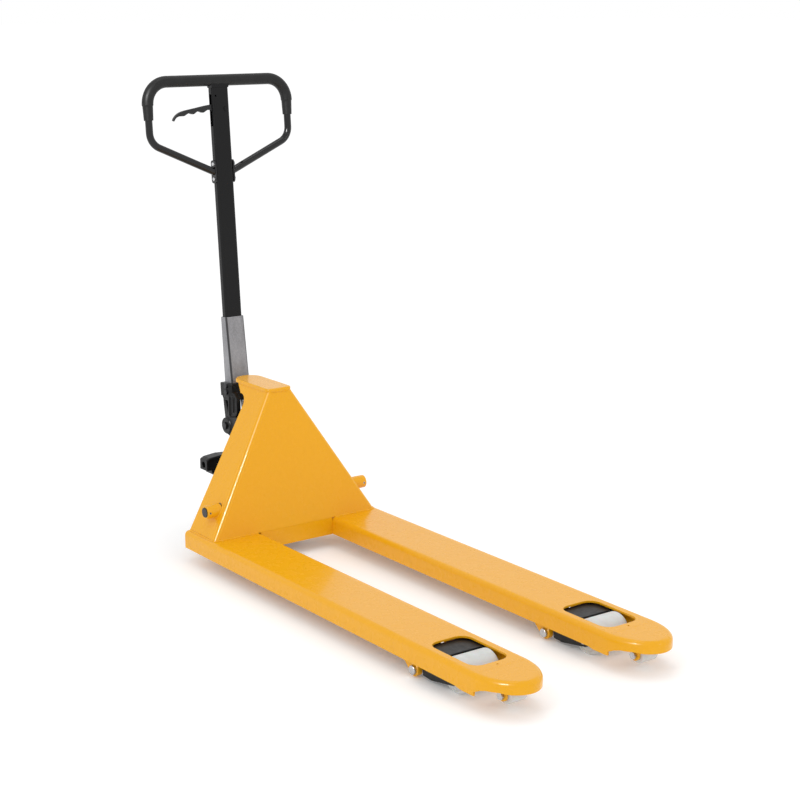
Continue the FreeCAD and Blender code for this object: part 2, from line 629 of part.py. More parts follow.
def helix_spring(wire, radius, x, y, z0, z1, turns):
    """A closed coil spring from a helix sweep."""
    pitch = (z1 - z0 - wire) / turns
    helix = Part.makeHelix(pitch, z1 - z0 - wire, radius)
    profile = Part.Wire(Part.makeCircle(wire / 2, V(radius, 0, 0), V(0, 1, 0)))
    coil = Part.Wire(helix).makePipeShell([profile], True, True)
    coil.translate(V(x, y, z0 + wire / 2))
    return coil


def chain_link(centre, along, twist):
    """One oval link of round wire, its long axis along the given direction."""
    wire_r, half, bend = 1.4, 3.6, 3.0
    a0, a1 = V(-bend, 0, -half), V(-bend, 0, half)
    b0, b1 = V(bend, 0, -half), V(bend, 0, half)
    path = Part.Wire([Part.makeLine(a0, a1), Part.Arc(a1, V(0, 0, half + bend), b1).toShape(),
                      Part.makeLine(b1, b0), Part.Arc(b0, V(0, 0, -half - bend), a0).toShape()])
    profile = Part.Wire(Part.makeCircle(wire_r, V(-bend, 0, 0), V(0, 0, 1)))
    link = path.makePipeShell([profile], True, True)
    link.rotate(V(0, 0, 0), V(0, 0, 1), twist)
    turn = FreeCAD.Rotation(V(0, 0, 1), along)
    link.Placement = FreeCAD.Placement(centre, turn).multiply(link.Placement)
    return link


def make_chain(start, end):
    """Links from start to end, each turned a quarter from the last."""
    pitch = 9.9
    along = end - start
    count = int(along.Length / pitch)
    step = along / count
    return [chain_link(start + step * (i + 0.5), along, 90 * (i % 2)) for i in range(count)]


def pump_unit():
    save("pump_body", make_pump_body())
    save("thrust_bearing", ring_z(50, TRUNK_R + 0.5, STEER_X, 0, *RACE_Z))
    gland = cyl_z(29, STEER_X, 0, PUMP_TOP, PUMP_TOP + 10)
    gland = gland.makeFillet(2, edges_where(gland, lambda e: e.BoundBox.ZMin > PUMP_TOP + 9))
    save("gland_nut", gland.cut(cyl_z(20, STEER_X, 0, PUMP_TOP - 1, PUMP_TOP + 11)))
    save("ram_wiper", ring_z(20, RAM_R + RUN, STEER_X, 0, PUMP_TOP, PUMP_TOP + 12))
    save("filler_plug", hex_plug(STEER_X + 30, -42, 292))
    save("release_lever", make_release_lever())
    save("release_pins", [cyl_z(VALVE_R, VALVE_X, 0, 206.5, 226), cyl_y(RELEASE_PIN_R, RELEASE_PIVOT, -19, 19)])
    press = about(TILT, PRESS_R, 180 - TILT_RANGE / 2)
    cap_top = press.z - PRESS_ROLLER_R - 0.6
    plunger = cyl_z(PLUNGER_R, PLUNGER_X, 0, PLUNGER_SEAT - 2, cap_top - 5)
    plunger = plunger.fuse(cyl_z(PLUNGER_R + 2, PLUNGER_X, 0, cap_top - 6, cap_top))
    save("pump_plunger", plunger.removeSplitter())
    save("plunger_spring", helix_spring(2.4, 10.4, PLUNGER_X, 0, PLUNGER_SEAT + 0.5, cap_top - 6.5, 6))
    save("handle_axle", make_handle_axle())


def hex_plug(x, y, z):
    radius = 8.0
    points = [V(x + radius * math.cos(math.radians(60 * i)), y + radius * math.sin(math.radians(60 * i)), z)
              for i in range(6)]
    return Part.Face(Part.makePolygon(points + points[:1])).extrude(V(0, 0, 7))


def make_handle_axle():
    """The axle that the handle tilts on, with a cross hole for the chain."""
    axle = cyl_y(TILT_PIN_R, TILT, -53, 53)
    return axle.cut(cyl_z(5.5, TILT.x, CHAIN_Y, TILT.z - 20, TILT.z + 20))


def steer_wheels():
    axis = V(STEER_X, 0, WHEEL_R)
    y0, y1 = WHEEL_Y
    middle = (y0 + y1) / 2
    for side, sign in SIDES.items():
        low, high = (y0, y1) if sign > 0 else (-y1, -y0)
        tyre = ring_y(WHEEL_R, 72, axis, low, high)
        rims = edges_where(tyre, lambda e: e.BoundBox.YLength < 0.01 and e.BoundBox.XLength > 2 * WHEEL_R - 1)
        save("steer_tyre_" + side, tyre.makeFillet(7, rims))
        hub = cyl_y(72, axis, low + 2, high - 2)
        dishes = [ring_y(60, 30, axis, low, sign * middle - 6), ring_y(60, 30, axis, sign * middle + 6, high)]
        hub = hub.cut(dishes + [cyl_y(13, axis, low, high), cyl_y(20, axis, low, low + 13.5),
                                cyl_y(20, axis, high - 13.5, high)])
        save("steer_hub_" + side, hub)
        bearings = [ring_y(20, WHEEL_AXLE_R + RUN, axis, low + 2, low + 13.5),
                    ring_y(20, WHEEL_AXLE_R + RUN, axis, high - 13.5, high - 2)]
        save("steer_bearings_" + side, bearings)
    axle = cyl_y(WHEEL_AXLE_R, axis, -84, 84)
    groove = ring_y(12, 8.8, axis, 80.6, 82)
    clip = ring_y(14, 8.8, axis, 80.6, 82)
    clip = clip.cut(box(STEER_X - 3, STEER_X + 3, 70, 90, WHEEL_R, WHEEL_R + 20))
    save("steer_axle", [axle.cut(both_sides(groove))] + both_sides(clip))


# ---- handle ------------------------------------------------------------------------------------------

def lean(shape):
    """Stand a shape that is drawn about the tube's own axis on the foot point, leaning back."""
    placed = shape.copy()
    placed.rotate(V(0, 0, 0), V(0, 1, 0), -HANDLE_LEAN)
    placed.translate(HANDLE_FOOT)
    return placed


def rounded_bar(hx, hy, z0, z1, radius):
    bar = box(-hx, hx, -hy, hy, z0, z1)
    return bar.makeFillet(radius, edges_where(bar, lambda e: e.BoundBox.ZLength > (z1 - z0) - 0.01))


def make_handle_tube():
    """A rounded rectangular tube with a slot in its right side for the hand lever."""
    hx, hy = TUBE_HALF
    tube = rounded_bar(hx, hy, *TUBE_Z, 7).cut(rounded_bar(hx - 3, hy - 3, *TUBE_Z, 4))
    slot = box(-6, 6, -hy - 1, -hy + 4, 690, 772)
    holes = [cyl_x(LEVER_PIN_R, LEVER_PIVOT_Y, LEVER_PIVOT_Z), cyl_x(2.5, -15, 768, 0, 40)]
    holes += [cyl_y(LOOP_BOLT_R, V(LOOP_BOLT_X, 0, z), -40, 40) for z in LOOP_BOLT_Z]
    return lean(tube.cut([slot] + holes))


def cyl_x(radius, y, z, x0=-40.0, x1=40.0):
    return Part.makeCylinder(radius, x1 - x0, V(x0, y, z), V(1, 0, 0))


def loop_path():
    """Centre line of the handle loop in the tube's plane, from one side of the tube to the other."""
    foot_y, foot_z = TUBE_HALF[1] - 2, 570.0
    slope = math.radians(24)
    low_r, top_r = 42.0, 57.0
    corner_z = foot_z + (LOOP_HALF - foot_y) * math.tan(slope)
    run = low_r * math.tan((math.pi / 2 - slope) / 2)
    a = V(0, foot_y, foot_z)
    b = V(0, LOOP_HALF - run * math.cos(slope), corner_z - run * math.sin(slope))
    c = V(0, LOOP_HALF, corner_z + run)
    centre = V(0, LOOP_HALF - low_r, corner_z + run)
    middle_angle = (slope - math.pi / 2) / 2
    bc = centre + V(0, low_r * math.cos(middle_angle), low_r * math.sin(middle_angle))
    d = V(0, LOOP_HALF, LOOP_TOP - top_r)
    e = V(0, LOOP_HALF - top_r, LOOP_TOP)
    s = top_r * math.sqrt(0.5)
    de = V(0, LOOP_HALF - top_r + s, LOOP_TOP - top_r + s)
    return a, b, bc, c, d, de, e


def loop_wire(start_at_grip):
    """Edges of the loop.  The grip covers the part above its lower ends."""
    a, b, bc, c, d, de, e = loop_path()

    def flip(p):
        return V(p.x, -p.y, p.z)

    if start_at_grip:
        low = V(0, LOOP_HALF, GRIP_END_Z)
        edges = [Part.makeLine(low, d)]
    else:
        edges = [Part.makeLine(a, b), Part.Arc(b, bc, c).toShape(), Part.makeLine(c, d)]
    edges += [Part.Arc(d, de, e).toShape(), Part.makeLine(e, flip(e)), Part.Arc(flip(e), flip(de), flip(d)).toShape()]
    if start_at_grip:
        edges += [Part.makeLine(flip(d), flip(low))]
    else:
        edges += [Part.makeLine(flip(d), flip(c)), Part.Arc(flip(c), flip(bc), flip(b)).toShape(),
                  Part.makeLine(flip(b), flip(a))]
    return Part.Wire(edges)


def sweep(wire, radius, start, direction):
    profile = Part.Wire(Part.makeCircle(radius, start, direction))
    return wire.makePipeShell([profile], True, False)


def make_loop():
    """The steel loop, its two ends pressed flat against the sides of the tube."""
    a, b = loop_path()[:2]
    tube = sweep(loop_wire(False), LOOP_R, a, b - a)
    keep_clear = box(-30, 30, -TUBE_HALF[1], TUBE_HALF[1], 500, 700)
    flats = [box(-11, 11, y0, y1, 542, 602) for y0, y1 in ((25, 29.5), (-29.5, -25))]
    flats = [f.makeFillet(8, edges_where(f, lambda e: e.BoundBox.YLength > 4)) for f in flats]
    loop = tube.cut(keep_clear).fuse(flats)
    return lean(loop.cut([cyl_y(LOOP_BOLT_R, V(LOOP_BOLT_X, 0, z), -60, 60) for z in LOOP_BOLT_Z]))


def make_grip():
    """One rubber sleeve over the top of the loop and both its corners."""
    start = V(0, LOOP_HALF, GRIP_END_Z)
    outer = sweep(loop_wire(True), GRIP_R, start, V(0, 0, 1))
    inner = sweep(loop_wire(True), LOOP_R, start, V(0, 0, 1))
    return lean(outer.cut(inner))


def make_saddle():
    """The plate that caps the tube and cradles the top bar."""
    hx, hy = TUBE_HALF
    low, top = TUBE_Z[1], LOOP_TOP - 2
    block = plate_x([(-hy, low), (hy, low), (hy + 1, low + 5), (hy + 6, top), (-hy - 6, top), (-hy - 1, low + 5)],
                    -hx, hx)
    plug = rounded_bar(hx - 3, hy - 3, low - 12, low, 4)
    bar = Part.makeCylinder(GRIP_R, 100, V(0, -50, LOOP_TOP), V(0, 1, 0))
    return lean(block.fuse(plug).removeSplitter().cut(bar))


def make_socket_block(inset, z0, z1):
    """The socket's outside, or its inside when inset: straight behind, wider in front at the foot."""
    half = SOCKET_HALF[1] - inset
    back = -SOCKET_HALF[0] + inset

    def front(z):
        return SOCKET_HALF[0] + (188 - z) * SOCKET_TAPER - inset

    body = plate_y([(back, z0), (front(z0), z0), (front(z1), z1), (back, z1)], -half, half)
    upright = edges_where(body, lambda e: e.BoundBox.ZLength > (z1 - z0) - 0.5)
    return body.makeFillet(7 - inset, upright)


def make_socket():
    """The tapered box that holds the foot of the tube."""
    holes = [cyl_y(SOCKET_BOLT_R, V(SOCKET_BOLT_X, 0, z), -40, 40) for z in SOCKET_BOLT_Z]
    inside = make_socket_block(SOCKET_WALL, SOCKET_FOOT_Z - 10, 200)
    return make_socket_block(0, SOCKET_FOOT_Z, 188).cut([inside] + holes)


def make_handle_base():
    """The casting that turns on the pump's axle: two cheeks, a block and a neck inside the socket."""
    press = about(TILT, PRESS_R, 180 - TILT_RANGE / 2)
    neck = box(-11.5, 19, -24.8, 24.8, -24, 60)
    neck = lean(neck.makeFillet(4, edges_where(neck, lambda e: e.BoundBox.ZLength > 60)))
    block = plate_y([(-182, 368), (-124, 368), (-126, 385), (-180, 385)], -33, 33)
    cup = box(-23, 27, -CUP_HALF_Y, CUP_HALF_Y, -24, 12)
    cup = cup.makeFillet(7, edges_where(cup, lambda e: e.BoundBox.ZLength > 30))
    cup = lean(cup.cut(make_socket_block(0, SOCKET_FOOT_Z, 188)))
    cheeks = []
    for y0, y1 in ((-CHEEK_Y[1], -CHEEK_Y[0]), CHEEK_Y):
        cheek = plate_y([(TILT.x + 17, TILT.z), (-108, 338), (-108, 376), (-122, 390), (-182, 386), (-176, 345),
                         (press.x - 11, press.z), (TILT.x, TILT.z - 17)], y0, y1)
        cheek = cheek.fuse([cyl_y(17, TILT, y0, y1), cyl_y(11, press, y0, y1)]).removeSplitter()
        window = plate_y([(-148, 364), (-168, 364), (-152, 326)], y0, y1)
        cheeks.append(cheek.cut(window))
    body = block.fuse(cheeks).cut(lean(make_socket_block(0, SOCKET_FOOT_Z, 188)))
    body = body.fuse([cup, neck]).removeSplitter()
    passage = rod_between(7, V(TILT.x, CHAIN_Y, TILT.z), V(-172, CHAIN_Y, 474))
    cuts = [cyl_y(TILT_PIN_R + RUN, TILT, -60, 60), cyl_y(PRESS_PIN_R, press, -60, 60), passage]
    cuts += [lean(cyl_y(SOCKET_BOLT_R, V(SOCKET_BOLT_X, 0, z), -60, 60)) for z in SOCKET_BOLT_Z]
    return body.cut(cuts)


def make_hand_lever():
    """The finger lever: a boss on its pin, a neck through the slot and a waved blade with a turned tip."""
    boss = cyl_x(8.5, LEVER_PIVOT_Y, LEVER_PIVOT_Z, -4.5, 4.5)
    top = [V(0, 8, 742), V(0, -24, 746), V(0, -60, 741), V(0, -96, 735), V(0, -124, 727), V(0, -140, 710)]
    low = [V(0, -137, 707), V(0, -120, 719), V(0, -106, 720), V(0, -93, 726), V(0, -80, 723), V(0, -66, 730),
           V(0, -52, 726), V(0, -38, 732), V(0, -20, 729), V(0, 8, 725)]
    upper = Part.BSplineCurve()
    upper.interpolate(top)
    lower = Part.BSplineCurve()
    lower.interpolate(low)
    outline = Part.Wire([upper.toShape(), Part.makeLine(top[-1], low[0]), lower.toShape(),
                         Part.makeLine(low[-1], top[0])])
    blade = Part.Face(outline).extrude(V(9, 0, 0))
    blade.translate(V(-4.5, 0, 0))
    lever = boss.fuse(blade).removeSplitter()
    return lean(lever.cut(cyl_x(LEVER_PIN_R + RUN, LEVER_PIVOT_Y, LEVER_PIVOT_Z)))


def handle():
    save("handle_base", make_handle_base())
    press = about(TILT, PRESS_R, 180 - TILT_RANGE / 2)
    save("pressure_roller", ring_y(PRESS_ROLLER_R, PRESS_PIN_R + RUN, press, -9, 9))
    save("handle_socket", lean(make_socket()))
    bolts = []
    for z in SOCKET_BOLT_Z:
        centre = V(SOCKET_BOLT_X, 0, z)
        face = CUP_HALF_Y
        bolt = cyl_y(SOCKET_BOLT_R, centre, -face, face + 6).fuse(hexagon_y(13, centre, -face - 5, -face))
        bolt = bolt.removeSplitter()
        nut = hexagon_y(13, centre, face, face + 5).cut(cyl_y(SOCKET_BOLT_R, centre, 20, 60))
        bolts += [lean(bolt), lean(nut)]
    save("handle_tube", make_handle_tube())
    save("handle_loop", make_loop())
    save("handle_grip", make_grip())
    save("handle_saddle", make_saddle())
    for z in LOOP_BOLT_Z:
        centre = V(LOOP_BOLT_X, 0, z)
        bolt = cyl_y(LOOP_BOLT_R, centre, -29.5, 34.5).fuse(hexagon_y(9, centre, -33, -29.5)).removeSplitter()
        nut = hexagon_y(9, centre, 29.5, 33).cut(cyl_y(LOOP_BOLT_R, centre, 20, 40))
        bolts += [lean(bolt), lean(nut)]
    save("handle_bolts", bolts)
    save("hand_lever", make_hand_lever())
    pin = cyl_x(LEVER_PIN_R, LEVER_PIVOT_Y, LEVER_PIVOT_Z, -12, 12)
    heads = [cyl_x(6, LEVER_PIVOT_Y, LEVER_PIVOT_Z, 12, 14), cyl_x(6, LEVER_PIVOT_Y, LEVER_PIVOT_Z, -14, -12)]
    save("handle_pins", [lean(pin.fuse(heads).removeSplitter()), cyl_y(PRESS_PIN_R, press, -33, 33)])
    control()


def control():
    """The rod inside the tube, and the chain that passes the tilt axis to the release lever."""
    top = V(-5, -6, LEVER_PIVOT_Z - 24)
    foot = V(-3, CHAIN_Y, 22)
    save("control_rod", lean(rod_between(2.5, foot, top)))
    chain_top = V(-163.5, CHAIN_Y, 418)
    chain_mid = V(TILT.x, CHAIN_Y, TILT.z + 12.8)
    save("upper_chain", make_chain(chain_mid, chain_top))
    chain_low = V(-136, CHAIN_Y, 204)
    save("lower_chain", make_chain(chain_low, V(TILT.x, CHAIN_Y, TILT.z - 3)))


frame_weldment()
load_rollers()
entry_rollers()
linkage()
pump_unit()
steer_wheels()
handle()
write_all()
whole = Part.makeCompound(list(SHAPES.values())).BoundBox
print("nodes", len(SHAPES))
print("box from heel", round(whole.XMin, 1), round(whole.XMax, 1), round(whole.YMin, 1), round(whole.YMax, 1),
      round(whole.ZMin, 1), round(whole.ZMax, 1))
print("rocker short arm", round(short_arm(), 2), "rod pins", rod_rear_pin(), "carrier pin", carrier_pin())
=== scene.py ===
"""Materials, detail meshes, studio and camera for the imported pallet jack.  Lengths are in metres."""

import json
import math
import random

import bmesh
import bpy
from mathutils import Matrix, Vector

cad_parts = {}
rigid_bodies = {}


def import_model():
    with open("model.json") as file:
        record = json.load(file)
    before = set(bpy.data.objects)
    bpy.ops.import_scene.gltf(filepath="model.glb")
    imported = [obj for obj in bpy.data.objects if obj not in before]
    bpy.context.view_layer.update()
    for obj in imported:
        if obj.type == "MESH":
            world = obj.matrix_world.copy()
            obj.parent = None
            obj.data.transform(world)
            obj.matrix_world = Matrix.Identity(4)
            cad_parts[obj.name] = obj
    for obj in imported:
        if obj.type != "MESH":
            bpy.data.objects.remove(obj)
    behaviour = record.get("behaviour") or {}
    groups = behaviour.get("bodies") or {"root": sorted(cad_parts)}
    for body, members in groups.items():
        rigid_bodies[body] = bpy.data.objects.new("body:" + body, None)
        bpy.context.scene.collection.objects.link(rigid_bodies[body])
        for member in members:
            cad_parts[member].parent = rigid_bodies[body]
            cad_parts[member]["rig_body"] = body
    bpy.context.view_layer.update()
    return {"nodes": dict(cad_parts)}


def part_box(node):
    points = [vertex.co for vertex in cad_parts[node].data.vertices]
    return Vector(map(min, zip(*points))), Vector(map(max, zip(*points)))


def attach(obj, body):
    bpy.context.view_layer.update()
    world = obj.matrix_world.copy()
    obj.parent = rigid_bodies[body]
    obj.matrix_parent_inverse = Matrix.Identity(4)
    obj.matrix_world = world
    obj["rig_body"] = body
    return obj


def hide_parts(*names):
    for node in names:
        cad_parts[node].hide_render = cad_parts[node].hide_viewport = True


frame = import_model()

SIDES = {"right": -1, "left": 1}
MM = 0.001

# ---- where things are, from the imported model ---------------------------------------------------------
FORK_LOW, FORK_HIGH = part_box("fork_right")
HEEL_X = FORK_LOW.x                            # the forks' heels
FORK_TOP = FORK_HIGH.z
FRAME_LOW, FRAME_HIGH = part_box("a_frame_panel")
PANEL_FOOT_X = FRAME_HIGH.x                    # front face of the panel at the fork tops
FLANGE_FOOT_Y = FRAME_HIGH.y                   # outer face of a flange at the fork tops
FLANGE_LEAN = 0.6167                           # how far each flange leans in per unit of height
PANEL_LEAN = 0.2118                            # how far the panel leans back per unit of height
A_FRAME_TOP = FRAME_HIGH.z
FORK_INNER = min(abs(FORK_LOW.y), abs(FORK_HIGH.y))
NOSE_SEAM = 100 * MM                           # from a fork tip back to the weld of its nose
HANDLE_LEAN = 4.38                             # degrees that the tube leans back from upright
GRIP_R = 15 * MM                               # outside of the grip
CORNER_R = 12 * MM                             # bend between the panel and a flange
BEARING_R = 20 * MM
BEARING_BORE_R = 10.05 * MM                    # a running fit round the 20 mm axles


def centre_of(node):
    low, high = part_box(node)
    return (low + high) / 2


# ---- materials ---------------------------------------------------------------------------------------

class Nodes:
    """A material's node tree, with short calls for the few node kinds used here."""

    def __init__(self, name):
        self.material = bpy.data.materials.new(name)
        self.material.use_nodes = True
        self.tree = self.material.node_tree
        self.shader = self.tree.nodes["Principled BSDF"]
        self.place = self.tree.nodes.new("ShaderNodeTexCoord").outputs["Object"]

    def link(self, source, target):
        self.tree.links.new(source, target)

    def stretched(self, scale):
        mapping = self.tree.nodes.new("ShaderNodeMapping")
        mapping.inputs["Scale"].default_value = scale
        self.link(self.place, mapping.inputs["Vector"])
        return mapping.outputs["Vector"]

    def noise(self, scale, detail=3.0, roughness=0.5, place=None):
        node = self.tree.nodes.new("ShaderNodeTexNoise")
        node.inputs["Scale"].default_value = scale
        node.inputs["Detail"].default_value = detail
        node.inputs["Roughness"].default_value = roughness
        self.link(place or self.place, node.inputs["Vector"])
        return node.outputs["Fac"]

    def spread(self, value, low, high, at=(0.3, 0.7)):
        """Maps the middle of a noise to the range from low to high."""
        node = self.tree.nodes.new("ShaderNodeMapRange")
        node.inputs["From Min"].default_value = at[0]
        node.inputs["From Max"].default_value = at[1]
        node.inputs["To Min"].default_value = low
        node.inputs["To Max"].default_value = high
        self.link(value, node.inputs["Value"])
        return node.outputs["Result"]

    def mix(self, share, first, second):
        node = self.tree.nodes.new("ShaderNodeMix")
        node.data_type = "RGBA"
        self.link(share, node.inputs["Factor"])
        for socket, value in ((node.inputs[6], first), (node.inputs[7], second)):
            if isinstance(value, tuple):
                socket.default_value = (*value, 1)
            else:
                self.link(value, socket)
        return node.outputs[2]

    def worn_edges(self, radius, low, high):
        """1 on sharp outer edges and 0 elsewhere: where a rounded normal leaves the true one."""
        nodes = self.tree.nodes
        bevel = nodes.new("ShaderNodeBevel")
        bevel.samples = 4
        bevel.inputs["Radius"].default_value = radius
        true = nodes.new("ShaderNodeNewGeometry").outputs["True Normal"]
        dot = nodes.new("ShaderNodeVectorMath")
        dot.operation = "DOT_PRODUCT"
        self.link(bevel.outputs["Normal"], dot.inputs[0])
        self.link(true, dot.inputs[1])
        return self.spread(dot.outputs["Value"], 1.0, 0.0, at=(low, high))

    def painted_corner_shade(self, low, high):
        """Painted shade mask: 1 where the surface turns between facing along X and along Y, and 0 on the
        flats.
        """
        nodes = self.tree.nodes
        split = nodes.new("ShaderNodeSeparateXYZ")
        self.link(nodes.new("ShaderNodeTexCoord").outputs["Normal"], split.inputs[0])
        product = nodes.new("ShaderNodeMath")
        product.operation = "MULTIPLY"
        self.link(split.outputs["X"], product.inputs[0])
        self.link(split.outputs["Y"], product.inputs[1])
        size = nodes.new("ShaderNodeMath")
        size.operation = "ABSOLUTE"
        self.link(product.outputs[0], size.inputs[0])
        return self.spread(size.outputs[0], 0.0, 1.0, at=(low, high))

    def bump(self, height, strength, distance, below=None):
        node = self.tree.nodes.new("ShaderNodeBump")
        node.inputs["Strength"].default_value = strength
        node.inputs["Distance"].default_value = distance
        self.link(height, node.inputs["Height"])
        if below is not None:
            self.link(below, node.inputs["Normal"])
        return node.outputs["Normal"]

    def set(self, **values):
        for name, value in values.items():
            self.shader.inputs[name.replace("_", " ")].default_value = value


def painted(name, colour, shade, rough, peel, peel_size, coat, level=0.3, bare=None):
    """Stoved enamel: a slight drift in colour, uneven gloss and orange peel.  Bare shows on worn edges."""
    m = Nodes(name)
    drift = m.spread(m.noise(3, 3), 0, 1)
    tone = m.mix(drift, colour, shade)
    if bare:
        edges = m.worn_edges(0.9 * MM, 0.80, 0.93)
        patches = m.spread(m.noise(130, 5, 0.65), 0, 1, at=(0.60, 0.72))
        share = m.tree.nodes.new("ShaderNodeMath")
        share.operation = "MULTIPLY"
        m.link(edges, share.inputs[0])
        m.link(patches, share.inputs[1])
        tone = m.mix(share.outputs[0], tone, bare)
    m.link(tone, m.shader.inputs["Base Color"])
    m.link(m.spread(m.noise(34, 6, 0.6), rough[0], rough[1]), m.shader.inputs["Roughness"])
    fine = m.bump(m.noise(1 / peel_size, 2, 0.4), 0.35, peel)
    wavy = m.bump(m.noise(38, 2), 0.2, 0.2 * MM, fine)
    m.link(wavy, m.shader.inputs["Normal"])
    m.set(Coat_Weight=coat, Coat_Roughness=0.06, IOR=1.5, Specular_IOR_Level=level)
    return m.material


def cast_iron(name, colour, shade):
    """Painted sand casting: a pebbled skin under semi-gloss black."""
    m = Nodes(name)
    m.link(m.mix(m.spread(m.noise(25, 5), 0, 1), colour, shade), m.shader.inputs["Base Color"])
    m.link(m.spread(m.noise(90, 5, 0.6), 0.30, 0.52), m.shader.inputs["Roughness"])
    grit = m.bump(m.noise(620, 4, 0.6), 0.45, 0.35 * MM)
    m.link(m.bump(m.noise(90, 3), 0.35, 0.6 * MM, grit), m.shader.inputs["Normal"])
    m.set(Coat_Weight=0.06, Coat_Roughness=0.2, Specular_IOR_Level=0.2)
    return m.material


def metal(name, colour, shade, rough, grain=(1, 1, 1), grain_scale=900, depth=0.05):
    """Plated or machined steel.  The grain can be drawn out along one axis."""
    m = Nodes(name)
    m.link(m.mix(m.spread(m.noise(60, 5), 0, 1), colour, shade), m.shader.inputs["Base Color"])
    lines = m.noise(grain_scale, 3, 0.6, m.stretched(grain))
    m.link(m.spread(lines, rough[0], rough[1]), m.shader.inputs["Roughness"])
    m.link(m.bump(lines, 0.3, depth * MM), m.shader.inputs["Normal"])
    m.set(Metallic=1.0)
    return m.material


def galvanised(name):
    """Dull zinc on the socket: cloudy grey with pale specks, and painted shade along its upright corners."""
    m = Nodes(name)
    cloud = m.spread(m.noise(28, 6, 0.65, m.stretched((1, 1, 0.35))), 0, 1)
    speck = m.spread(m.noise(260, 4, 0.6), 0, 0.35)
    tone = m.mix(cloud, (0.30, 0.30, 0.315), (0.15, 0.15, 0.16))
    grey = m.mix(speck, tone, (0.42, 0.42, 0.44))
    # painted shade: the upright corners are mixed to near black, where the socket turns from facing X to
    # facing Y
    shaded = m.mix(m.painted_corner_shade(0.22, 0.42), grey, (0.02, 0.02, 0.022))
    m.link(shaded, m.shader.inputs["Base Color"])
    m.link(m.spread(m.noise(120, 5), 0.38, 0.60), m.shader.inputs["Roughness"])
    m.link(m.bump(m.noise(300, 4, 0.6), 0.3, 0.12 * MM), m.shader.inputs["Normal"])
    m.set(Metallic=0.35)
    return m.material


def nylon(name):
    """Turned white nylon: faint tool marks round the roller, slightly translucent, a little grey dust."""
    m = Nodes(name)
    clean = (0.66, 0.67, 0.655)
    dusty = (0.50, 0.50, 0.485)
    m.link(m.mix(m.spread(m.noise(45, 6, 0.65), 0, 0.6), clean, dusty), m.shader.inputs["Base Color"])
    m.link(m.spread(m.noise(80, 4), 0.30, 0.48), m.shader.inputs["Roughness"])
    rings = m.noise(260, 2, 0.5, m.stretched((0.05, 6, 0.05)))
    m.link(m.bump(rings, 0.3, 0.12 * MM), m.shader.inputs["Normal"])
    m.set(Subsurface_Weight=0.15, Subsurface_Scale=0.004)
    return m.material


def rubber(name, colour, shade, rough, pebble, depth):
    """Moulded rubber or plastic with a pebbled skin."""
    m = Nodes(name)
    m.link(m.mix(m.spread(m.noise(70, 5), 0, 1), colour, shade), m.shader.inputs["Base Color"])
    m.link(m.spread(m.noise(140, 5), rough[0], rough[1]), m.shader.inputs["Roughness"])
    skin = m.bump(m.noise(1 / pebble, 3, 0.55), 0.4, depth)
    m.link(m.bump(m.noise(60, 2), 0.2, 0.3 * MM, skin), m.shader.inputs["Normal"])
    m.set(Specular_IOR_Level=0.3)
    return m.material


LOOKS = {
    "truck_paint": painted("truck_paint", (0.81, 0.385, 0.005), (0.80, 0.378, 0.005), (0.22, 0.32),
                           0.06 * MM, 1.6 * MM, 0.22, level=0.2, bare=(0.60, 0.26, 0.01)),
    "black_paint": painted("black_paint", (0.005, 0.005, 0.0055), (0.008, 0.008, 0.0085), (0.14, 0.26),
                           0.05 * MM, 1.1 * MM, 0.15),
    "tube_paint": painted("tube_paint", (0.005, 0.005, 0.0055), (0.007, 0.007, 0.0075), (0.22, 0.32),
                          0.04 * MM, 1.0 * MM, 0.06, level=0.16),
    "cast_black": cast_iron("cast_black", (0.006, 0.006, 0.0065), (0.012, 0.012, 0.012)),
    "galvanised": galvanised("galvanised"),
    "chromed_steel": metal("chromed_steel", (0.72, 0.73, 0.75), (0.66, 0.67, 0.69), (0.06, 0.16),
                           grain=(1, 1, 0.03), grain_scale=1400, depth=0.01),
    "zinc_steel": metal("zinc_steel", (0.62, 0.63, 0.64), (0.47, 0.48, 0.50), (0.22, 0.42),
                        grain_scale=500),
    "bearing_steel": metal("bearing_steel", (0.46, 0.46, 0.47), (0.36, 0.36, 0.37), (0.16, 0.32),
                           grain=(0.05, 6, 0.05), grain_scale=400),
    "wheel_metal": metal("wheel_metal", (0.58, 0.58, 0.59), (0.44, 0.44, 0.45), (0.34, 0.55),
                         grain_scale=420, depth=0.12),
    "dark_steel": metal("dark_steel", (0.075, 0.075, 0.08), (0.04, 0.04, 0.043), (0.30, 0.45),
                        grain_scale=500),
    "white_nylon": nylon("white_nylon"),
    "wheel_rubber": rubber("wheel_rubber", (0.016, 0.016, 0.016), (0.03, 0.03, 0.029), (0.5, 0.75),
                           1.2 * MM, 0.2 * MM),
    "grip_rubber": rubber("grip_rubber", (0.006, 0.006, 0.006), (0.010, 0.010, 0.010), (0.36, 0.5),
                          0.8 * MM, 0.12 * MM),
    "seal_rubber": rubber("seal_rubber", (0.015, 0.015, 0.016), (0.02, 0.02, 0.02), (0.4, 0.55),
                          0.7 * MM, 0.05 * MM),
    "lever_plastic": rubber("lever_plastic", (0.013, 0.013, 0.014), (0.019, 0.019, 0.02), (0.3, 0.45),
                            0.9 * MM, 0.1 * MM),
}


def finish_piece(piece, look):
    """Gives a piece its material."""
    piece.data.materials.clear()
    piece.data.materials.append(LOOKS[look])
    return piece


# ---- mesh helpers ------------------------------------------------------------------------------------

